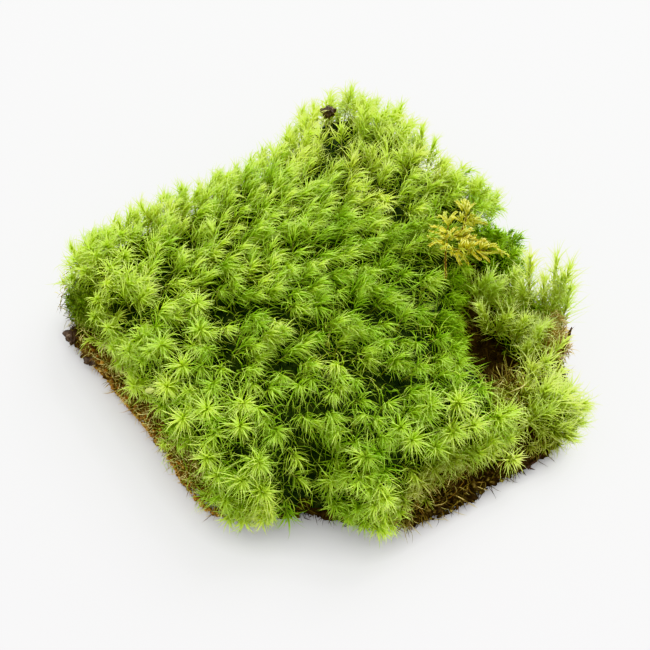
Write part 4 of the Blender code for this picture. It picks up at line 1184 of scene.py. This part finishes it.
def wandering(spots, ways, length_mm, wander, sag, loose):
    """Paths of three steps that start along the given ways, more or less, turn by chance at each
    step, and sink by their sag."""
    count, steps = len(spots), 3
    way = unit(ways + rng.normal(0, loose, (count, 3)))
    turn = rng.normal(0, wander, (count, 3))
    step = (rng.uniform(0.5, 1.3, count) * length_mm * MM / steps)[:, None]
    path = [spots]
    for _ in range(steps):
        way = unit(way + turn + rng.normal(0, wander / 2, (count, 3)) - UP * sag)
        path.append(path[-1] + way * step)
    return np.stack(path, axis=1)


def edge_spots(count, node="humus_mat", steepest=0.7, highest_mm=40, lowest_mm=0.3):
    """Spots thrown on a solid's side walls, with the outward direction of each. Triangles whose
    normals rise or fall by more than a share of 1 are left out, and none are at 1.1."""
    skin = skins[node]
    wanted = (np.abs(skin.normal[:, 2]) < steepest) & (skin.centre[:, 2] < highest_mm * MM)
    spots = thrown(skin, count, wanted)
    place, way = mean_skin(spots, skin, 3.5 * MM)
    good = (spots[:, 2] > lowest_mm * MM) & (spots[:, 2] < highest_mm * MM)
    return spots[good], unit(way[good] * (1, 1, 0.2))


def fibres(spots, ways, length_mm, thick_mm, wander, tone, spread=0.2, sag=0.25, loose=0.45):
    """Fine fibres that start a little inside a wall, set out along the given ways and then go
    where chance takes them."""
    paths = wandering(spots - ways * 0.6 * MM, ways * 0.8, length_mm, wander, sag, loose)
    thick = thick_mm * MM * rng.uniform(0.6, 1.3, len(spots))[:, None] * np.array([1, 0.75])
    rust = near_any(spots, RUST)
    shade = np.clip(tone + rng.normal(0, spread, len(spots)) + 0.1 * rust, 0, 1)
    return Spikes(paths, rng.normal(0, 1, (len(spots), 3)), thick, thick,
                  tone=shade, rust=rust * (spots[:, 2] < 4.5 * MM))


def grains(spots, size_mm, tone):
    """Short stout spikes with four corners, each turned its own way, for crumbs of soil."""
    count = len(spots)
    way = unit(rng.normal(0, 1, (count, 3)))
    size = (rng.uniform(0.5, 1.4, count) * size_mm * MM)[:, None]
    paths = spots[:, None] + (way * size)[:, None] * np.array([-0.7, -0.25, 0.3, 0.75])[None, :, None]
    wide = size * rng.uniform(0.3, 0.7, (count, 2))
    rust = near_any(spots, RUST)
    shade = np.clip(tone + rng.normal(0, 0.2, count), 0, 1)
    return Spikes(paths, rng.normal(0, 1, (count, 3)), wide, wide * 0.8, 4, tone=shade, rust=rust * 0.8)


wall, wall_way = edge_spots(3300)
wall_fibres = fibres(wall, wall_way, 4.2, 0.10, 0.55, 0.30 + 0.45 * near_any(wall, RUST), loose=1.0)
FUZZ = np.array([  # places of pale dead leaves, as all such lists here: x, y and reach in mm
    (-65, -10, 6), (-62, -14, 6), (-59, -18, 6), (-55, -25, 5), (-38, -50, 4), (-35, -55, 5), (-45, -39, 4)])
fuzz, fuzz_way = edge_spots(11500, steepest=1.1, lowest_mm=2.5)
here = near_any(fuzz, FUZZ) > rng.uniform(0.1, 1, len(fuzz))
fuzz_fibres = fibres(fuzz[here] + UP * 1.5 * MM, fuzz_way[here], 3.8, 0.12, 0.6, 1.0, spread=0.15,
                     sag=0.1, loose=1.0)
skirt, skirt_way = edge_spots(2600, "main_cushion", 0.9, highest_mm=15)
here = (skirt[:, 1] > -60 * MM) | (skirt[:, 0] > 20 * MM)  # none under the front tips
skirt, skirt_way = skirt[here], skirt_way[here]
skirt_tone = 0.60 + 0.35 * near_any(skirt, FUZZ)
skirt_fibres = fibres(skirt, skirt_way, 4.2, 0.11, 0.5, skirt_tone, sag=0.4, loose=0.8)
crumb_at, crumb_way = edge_spots(1400)
crumb_grains = grains(crumb_at + crumb_way * 0.3 * MM, 0.85, 0.28)
rust_foot, rust_way = edge_spots(3000, highest_mm=3.5)
rusting = near_any(rust_foot, RUST) > rng.random(len(rust_foot))
rust_grains = grains(rust_foot[rusting] + rust_way[rusting] * 0.5 * MM, 0.7, 0.5)
joined_mesh("root_fibres", [wall_fibres, fuzz_fibres, skirt_fibres, crumb_grains, rust_grains],
            fibre_finish, "humus")


# %% [markdown]
# ## Tan fuzz and a tangle
#
# At two places dead leaves lie so thick that they hide what is under them: a tan patch at the foot
# of the standing shoots, and a tangle over the humus at the front right. They are fibres once more,
# thrown much closer, and kept only near those places.

# %% Fuzz and tangle
TAN_PATCH, TAN_REACH = np.array((67, -12.5, 12)) * MM, 6.5 * MM
tan_skin, tan_way = edge_spots(16000, "side_tuft", 1.1)
here = np.linalg.norm(tan_skin - TAN_PATCH, axis=1) < TAN_REACH
tan_fibres = fibres(tan_skin[here].repeat(2, axis=0), tan_way[here].repeat(2, axis=0), 3.6, 0.10, 0.5, 0.80,
                    sag=0.0, loose=0.8)
tan_fibres.numbers["rust"] = np.full(len(tan_fibres.paths), 0.4)
TANGLE = np.array([(30, -64, 6), (37, -59, 5), (24, -68, 5)])
tangle, tangle_way = edge_spots(12000, "humus_mat", 1.1)
here = near_any(tangle, TANGLE) > 0.3
tangle_fibres = fibres(tangle[here], tangle_way[here], 5.0, 0.14, 0.7, 0.66, spread=0.25, sag=0.1, loose=1.0)
tangle_fibres.numbers["rust"] = rng.uniform(0, 0.5, len(tangle_fibres.paths))
tangle, tangle_way = edge_spots(5000, "main_cushion", 1.1, highest_mm=13)
here = near_any(tangle, TANGLE) > 0.3
over_fibres = fibres(tangle[here].repeat(2, axis=0), tangle_way[here].repeat(2, axis=0), 6.0, 0.12, 0.6,
                     0.66, sag=0.35, loose=0.9)
joined_mesh("tan_fuzz", [tan_fibres, tangle_fibres, over_fibres], fibre_finish, "humus")


# %% [markdown]
# ## Dead stems in the cleft
#
# Where the side tuft has come away, one looks down between bare brown stems. They are thicker
# fibres that rise from the mat and lean every way, with a few dead leaves to each. A brown tuft of
# dead leaves, combed to the right, stands at the cleft's front end.

# %% Stems
CLEFT = np.array([
    (46, -8, 6), (47, -15, 6), (49, -22, 6), (52, -29, 6), (56, -36, 5), (55, -12, 5), (60, -20, 5),
    (64, -12, 4), (60, -4, 4)])
BROWN_TUFT = np.array([(49.2, -31.0), (46.2, -35.0), (52.2, -30.5), (50.0, -35.5), (54.0, -33.5)])
STEMS, LEAVES_A_STEM, BROWN_LEAVES = 260, 5, 260

pick = rng.integers(0, len(CLEFT), STEMS)
foot = np.column_stack([CLEFT[pick, :2] + rng.normal(0, 0.45, (STEMS, 2)) * CLEFT[pick, 2:],
                        np.full(STEMS, 6.5)]) * MM
rising = np.column_stack([rng.normal(0, 0.5, (STEMS, 2)), rng.uniform(0.5, 1.0, STEMS)])
dead_stems = fibres(foot, unit(rising), 7.0, 0.22, 0.25, 0.10, sag=-0.10)
every_way = unit(rng.normal(0, 1, (STEMS * LEAVES_A_STEM, 3)) + UP)
dead_leaves = fibres(foot.repeat(LEAVES_A_STEM, axis=0), every_way, 6.0, 0.12, 0.35, 0.14)
pick = rng.integers(0, len(BROWN_TUFT), BROWN_LEAVES)
foot = np.column_stack([BROWN_TUFT[pick] + rng.normal(0, 1.8, (BROWN_LEAVES, 2)),
                        rng.uniform(8, 14, BROWN_LEAVES)]) * MM
swept_right = unit(rng.normal(0, 0.5, (BROWN_LEAVES, 3)) + (0.5, 0.1, 0.9))
brown_leaves = fibres(foot, swept_right, 8.0, 0.14, 0.3, 0.58, sag=0.12)
joined_mesh("dead_stems", [dead_stems, dead_leaves, brown_leaves], fibre_finish, "humus")


# %% [markdown]
# ## The yellow feather moss
#
# One frond of another moss lies on the cushion by the dark tuft, with a smaller one beside it:
# rusty brown axes with golden branchlets to both sides, each a thin stem hidden under small
# scale-like leaves. The branchlets' ends were read off the photograph one by one, and each has a
# shorter, greener one beside it, so that the whole is knobby.

# %% Frond
frond_finish, tree, out = new_finish("feather_frond")
along, tone = attribute(tree, "along"), attribute(tree, "tone")
gold = colours(tree, along, [
    (0.0, (0.44, 0.36, 0.03)), (0.55, (0.74, 0.68, 0.07)), (1.0, (0.92, 0.90, 0.38))])
rusty_stem = colours(tree, blotches(tree, 3, 3), [(0.3, (0.06, 0.028, 0.010)), (0.7, (0.15, 0.070, 0.022))])
green_gold = mixed(tree, 0.6, gold, (0.34, 0.50, 0.07))
leaf = mixed(tree, tone, rusty_stem, mixed(tree, attribute(tree, "age"), gold, green_gold))
tree.links.new(thin_surface(tree, leaf, leaf, 0.55, 0.35), out.inputs[0])

AXES = np.array([  # the start, middle and end of each bare axis, in mm
    [(35.2, -6.5, 27.0), (35.3, 3.0, 30.6), (36.6, 13.0, 32.0)],
    [(36.5, 2.6, 30.6), (41.0, 2.2, 31.6), (49.6, 2.6, 30.5)],
    [(36.4, 6.6, 31.2), (39.5, 7.4, 32.0), (43.5, 7.2, 31.6)],
    [(38.5, 7.2, 31.4), (41.0, 12.0, 32.0), (41.4, 18.0, 31.6)]])
BRANCHLETS = np.array([  # foot and tip in mm, then from 0 to 1 how golden and how green
    (35.8, 8.5, 31.4, 31.9, 10.6, 31.6, 1.0, 0.0), (35.7, 7.0, 31.2, 30.9, 9.0, 31.4, 1.0, 0.0),
    (35.6, 5.5, 31.0, 30.4, 7.4, 31.0, 1.0, 0.0), (35.5, 4.5, 30.8, 30.3, 4.6, 30.4, 0.9, 0.1),
    (36.0, 10.5, 31.8, 33.6, 13.8, 31.8, 0.9, 0.5), (36.3, 12.0, 32.0, 38.5, 15.5, 32.0, 0.9, 0.5),
    (35.6, 6.5, 31.2, 38.6, 9.6, 32.2, 0.9, 0.2), (37.5, 2.6, 30.9, 39.4, -0.8, 29.6, 1.0, 0.1),
    (38.6, 2.6, 31.0, 41.8, -1.2, 30.0, 0.9, 0.2), (39.6, 2.5, 31.2, 41.6, 6.0, 32.6, 0.9, 0.0),
    (40.6, 2.4, 31.4, 44.0, 7.0, 32.8, 1.0, 0.1), (41.6, 2.4, 31.4, 44.2, 0.2, 30.4, 0.9, 0.1),
    (42.4, 2.4, 31.4, 46.0, 4.6, 32.4, 0.9, 0.1), (43.5, 2.3, 31.4, 46.4, -0.4, 30.2, 0.8, 0.1),
    (45.0, 2.4, 31.2, 49.0, 4.6, 31.8, 0.9, 0.5), (46.5, 2.4, 31.0, 50.6, 0.8, 30.2, 0.9, 0.5),
    (38.0, 7.0, 31.7, 40.5, 9.6, 32.6, 0.9, 0.1), (39.0, 7.2, 31.9, 43.0, 9.0, 32.4, 0.9, 0.0),
    (38.2, 7.0, 31.6, 40.6, 4.2, 31.6, 0.9, 0.1), (40.5, 7.4, 31.9, 44.4, 6.0, 32.0, 0.8, 0.0),
    (41.0, 12.5, 32.0, 45.0, 13.2, 32.4, 0.9, 0.6), (42.5, 12.8, 32.0, 47.0, 12.0, 32.0, 0.9, 0.6),
    (41.2, 15.0, 32.0, 43.0, 17.6, 32.4, 0.9, 0.5), (41.0, 16.0, 32.0, 39.0, 19.6, 32.0, 0.9, 0.5),
    (41.3, 17.0, 32.0, 41.6, 21.0, 32.4, 1.0, 0.6), (40.5, 11.0, 32.0, 37.6, 12.6, 32.0, 0.9, 0.4)])


def arcs(start, middle, end, stations):
    """Paths through start, middle and end: a Bezier curve whose handle makes it pass the middle."""
    handle = 2 * middle - (start + end) / 2
    t = np.linspace(0, 1, stations)[None, :, None]
    start, handle, end = start[:, None], handle[:, None], end[:, None]
    return (1 - t) ** 2 * start + 2 * t * (1 - t) * handle + t**2 * end


def scales(paths, per_side, length_mm, width_mm, tone, age):
    """Small leaves up both sides of each path: a leaf starts on the path and points ahead, out to
    its side and a little up, and curls in at the tip."""
    count, stations = paths.shape[:2]
    share = np.linspace(0.04, 0.97, 2 * per_side)
    spot = share * (stations - 1)
    low = np.minimum(spot.astype(int), stations - 2)
    part = (spot - low)[None, :, None]
    base = paths[:, low] * (1 - part) + paths[:, low + 1] * part
    ahead = unit(paths[:, low + 1] - paths[:, low])
    side = unit(np.cross(ahead, UP)) * np.where(np.arange(2 * per_side) % 2, 1, -1)[None, :, None]
    way = unit(ahead + side * 0.45 + UP * rng.uniform(-0.2, 0.6, (count, 2 * per_side, 1)))
    inward = unit(ahead + side * 0.05)
    size = length_mm * MM * (1.1 - 0.55 * share)[None, :, None]
    size = size * rng.uniform(0.8, 1.2, (count, 2 * per_side, 1))
    path = np.stack([base, base + way * size * 0.45, base + way * size * 0.75 + inward * size * 0.25,
                     base + way * size * 0.85 + inward * size * 0.6], axis=2).reshape(-1, 4, 3)
    wide = np.array([1.0, 0.8]) * width_mm * MM
    return Spikes(path, np.tile(UP, (len(path), 1)) + rng.normal(0, 0.4, (len(path), 3)), wide, wide * 0.4,
                  tone=np.repeat(tone, 2 * per_side), age=np.repeat(age, 2 * per_side))


axes = arcs(AXES[:, 0] * MM, AXES[:, 1] * MM, AXES[:, 2] * MM, 9)
thin = np.linspace(0.21, 0.13, 7) * MM
axis_spikes = Spikes(axes, np.tile(UP, (len(axes), 1)), thin, thin, 6, tone=0.0, age=0.0)
more = BRANCHLETS.copy()  # the shorter, greener ones
more[:, 3:6] = more[:, :3] + (more[:, 3:6] - more[:, :3]) * rng.uniform(0.4, 0.8, (len(more), 1))
more[:, 3:6] += rng.normal(0, 1.0, (len(more), 3)) * (1, 1, 0.5)
more[:, 7] = rng.uniform(0.3, 1.0, len(more))
branchlets = np.concatenate([BRANCHLETS, more])
branchlets[:, :6] += rng.normal(0, 0.45, (len(branchlets), 6))
foot, tip = branchlets[:, :3] * MM, branchlets[:, 3:6] * MM
golden, green = branchlets[:, 6:].T
twigs = arcs(foot, (foot + tip) / 2 + UP * 0.5 * MM + rng.normal(0, 0.5, foot.shape) * MM, tip, 6)
twig_spikes = Spikes(twigs, np.tile(UP, (len(twigs), 1)), np.array([0.26, 0.28, 0.25, 0.18]) * MM,
                     np.array([0.2, 0.22, 0.2, 0.14]) * MM, 5, tone=golden, age=green)
twig_leaves = scales(twigs, 11, 1.35, 0.26, golden, green)
axis_leaves = scales(axes, 16, 1.1, 0.22, np.full(len(axes), 0.6), np.full(len(axes), 0.4))
joined_mesh("feather_moss", [axis_spikes, twig_spikes, twig_leaves, axis_leaves],
            frond_finish, "feather_moss", "feather_frond", "feather_frond_small")


# %% [markdown]
# ## Small things caught in the moss
#
# Three crumbs of soil and the husk of a seed lie in the moss. They are spheres whose radius varies
# with bearing and height, stretched to the boxes of their solids: strongly rippled for the crumbs,
# and hardly at all for the husk.

# %% Lumps
soil_finish, tree, out = new_finish("soil")
speck = colours(tree, blotches(tree, 0.8, 5, 0.7), [
    (0.34, (0.012, 0.008, 0.005)), (0.52, (0.05, 0.032, 0.020)),
    (0.66, (0.13, 0.088, 0.055)), (0.77, (0.50, 0.42, 0.32))])
tree.links.new(surface(tree, speck, 0.6, 0.4, (blotches(tree, 0.5, 6, 0.7), 0.5, 1.0)), out.inputs[0])
husk_finish, tree, out = new_finish("husk")
straw = colours(tree, blotches(tree, 1.2, 4), [(0.3, (0.22, 0.25, 0.05)), (0.7, (0.32, 0.36, 0.09))])
tree.links.new(surface(tree, straw, 0.45, 0.4), out.inputs[0])


def lump(name, node, finish, rough, seed, steps=48, levels=26):
    """Spot = middle of the solid's box + half the box x (1 + rough x ripples) on a sphere. The
    ripples fade towards the poles, where the small lids are."""
    low, high = (np.array(corner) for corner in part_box(node))
    a = np.linspace(-np.pi, np.pi, steps, endpoint=False)
    b = np.linspace(0.12, np.pi - 0.12, levels)[:, None]
    ball = np.stack([np.sin(b) * np.cos(a), np.sin(b) * np.sin(a), -np.cos(b) * np.ones_like(a)], axis=-1)
    swell = 1 + rough * ripples(a, 3 * b, (4, 9, 18), seed)[..., None] * np.sin(b)[..., None]
    grid = (low + high) / 2 + (high - low) / 2 * ball * swell
    grid[..., 2] = np.maximum(grid[..., 2], 0)
    grid_piece(name, grid, finish, node)


for seed, side in enumerate(("left", "front", "back"), 1):
    lump(f"{side}_crumb", f"soil_crumb_{side}", soil_finish, rough=0.30, seed=seed)
lump("husk", "seed_husk", husk_finish, rough=0.05, seed=4)


# %% [markdown]
# ## The flake, the needle and the star
#
# A flake of bark, a fir needle and one pale shoot are at the front and at the right. The flake and
# the needle are spikes with many stations, on the paths that their solids have: one flat and
# ragged, with splinters, the other slim and glossy. The shoot is planted as the cushion's are, with
# its leaves spread into a star.

# %% Flake, needle and star
bark_finish, tree, out = new_finish("bark")
grain = colours(tree, blotches(tree, 1.5, 6, 0.7), [
    (0.3, (0.012, 0.008, 0.006)), (0.7, (0.07, 0.045, 0.032))])
tree.links.new(surface(tree, grain, 0.8, 0.25, (blotches(tree, 0.5, 5), 0.4, 0.9)), out.inputs[0])
needle_finish, tree, out = new_finish("needle")
wax = colours(tree, blotches(tree, 4, 3), [(0.3, (0.014, 0.007, 0.005)), (0.7, (0.05, 0.022, 0.012))])
tree.links.new(surface(tree, wax, 0.4, 0.4), out.inputs[0])


def through(points_mm, stations):
    """Even stations along the straight runs between the points of a path."""
    points = np.asarray(points_mm, float) * MM
    run = np.append(0, np.cumsum(np.linalg.norm(np.diff(points, axis=0), axis=1)))
    where = np.linspace(0, run[-1], stations)
    return np.stack([np.interp(where, run, points[:, k]) for k in range(3)], axis=1)[None]


flake_path = through([(51.8, -52.2, 1.6), (55.3, -50.6, 2.4), (58.8, -48.8, 2.8), (60.5, -47.4, 4.6)], 16)
ragged = np.array([0.9, 1.2, 0.9, 1.3, 1.0, 1.2, 0.8, 0.9, 0.6, 0.7, 0.5, 0.5, 0.4, 0.3]) * MM
flake = Spikes(flake_path, np.array([(0.3, -0.6, 0.2)]), ragged, 0.25 * MM, 6)
splinter_at = flake_path[0, [1, 3, 4, 6, 7, 9, 11, 12]]
splinters = fibres(splinter_at, np.tile((0.2, -0.9, -0.1), (8, 1)), 3.0, 0.28, 0.2, 0.05, sag=0.05)
joined_mesh("bark_strip", [flake, splinters], bark_finish, "bark", "bark_flake")

needle_path = through([(68.0, -17.2, 9), (68.8, -15.8, 12), (69.6, -14.6, 15), (70.2, -13.8, 18)], 12)
slim = np.array([0.45, 0.5, 0.55, 0.55, 0.55, 0.5, 0.5, 0.45, 0.35, 0.25]) * MM
needle = Spikes(needle_path, np.array([(1.0, 0, 0)]), slim, slim * 0.8, 8)
joined_mesh("fir_needle", [needle], needle_finish, "needle_brown", "needle")

star_place = np.array([(50.3, -53.2, 8.0)]) * MM
star_way = unit(np.array([(0.45, -0.75, 0.5)]))
star = plant(star_place, star_way, depth_mm=3.0, tall_mm=4.6, leaning=0.0, length=6.6 * MM, swept=0.2,
             flare=0.8, droop=0.45, tone=0.85, age=0.0, open_low=90.0, open_top=20.0, bend=0.7, curl=0.6)
joined_mesh("pale_star", [leaves(star, 64, 0.22)], pale_finish, "pale_moss", "star_shoot")


# %% [markdown]
# ## Size
#
# Leaves stand a little proud of the solids, so the dressed clump is larger than they are.
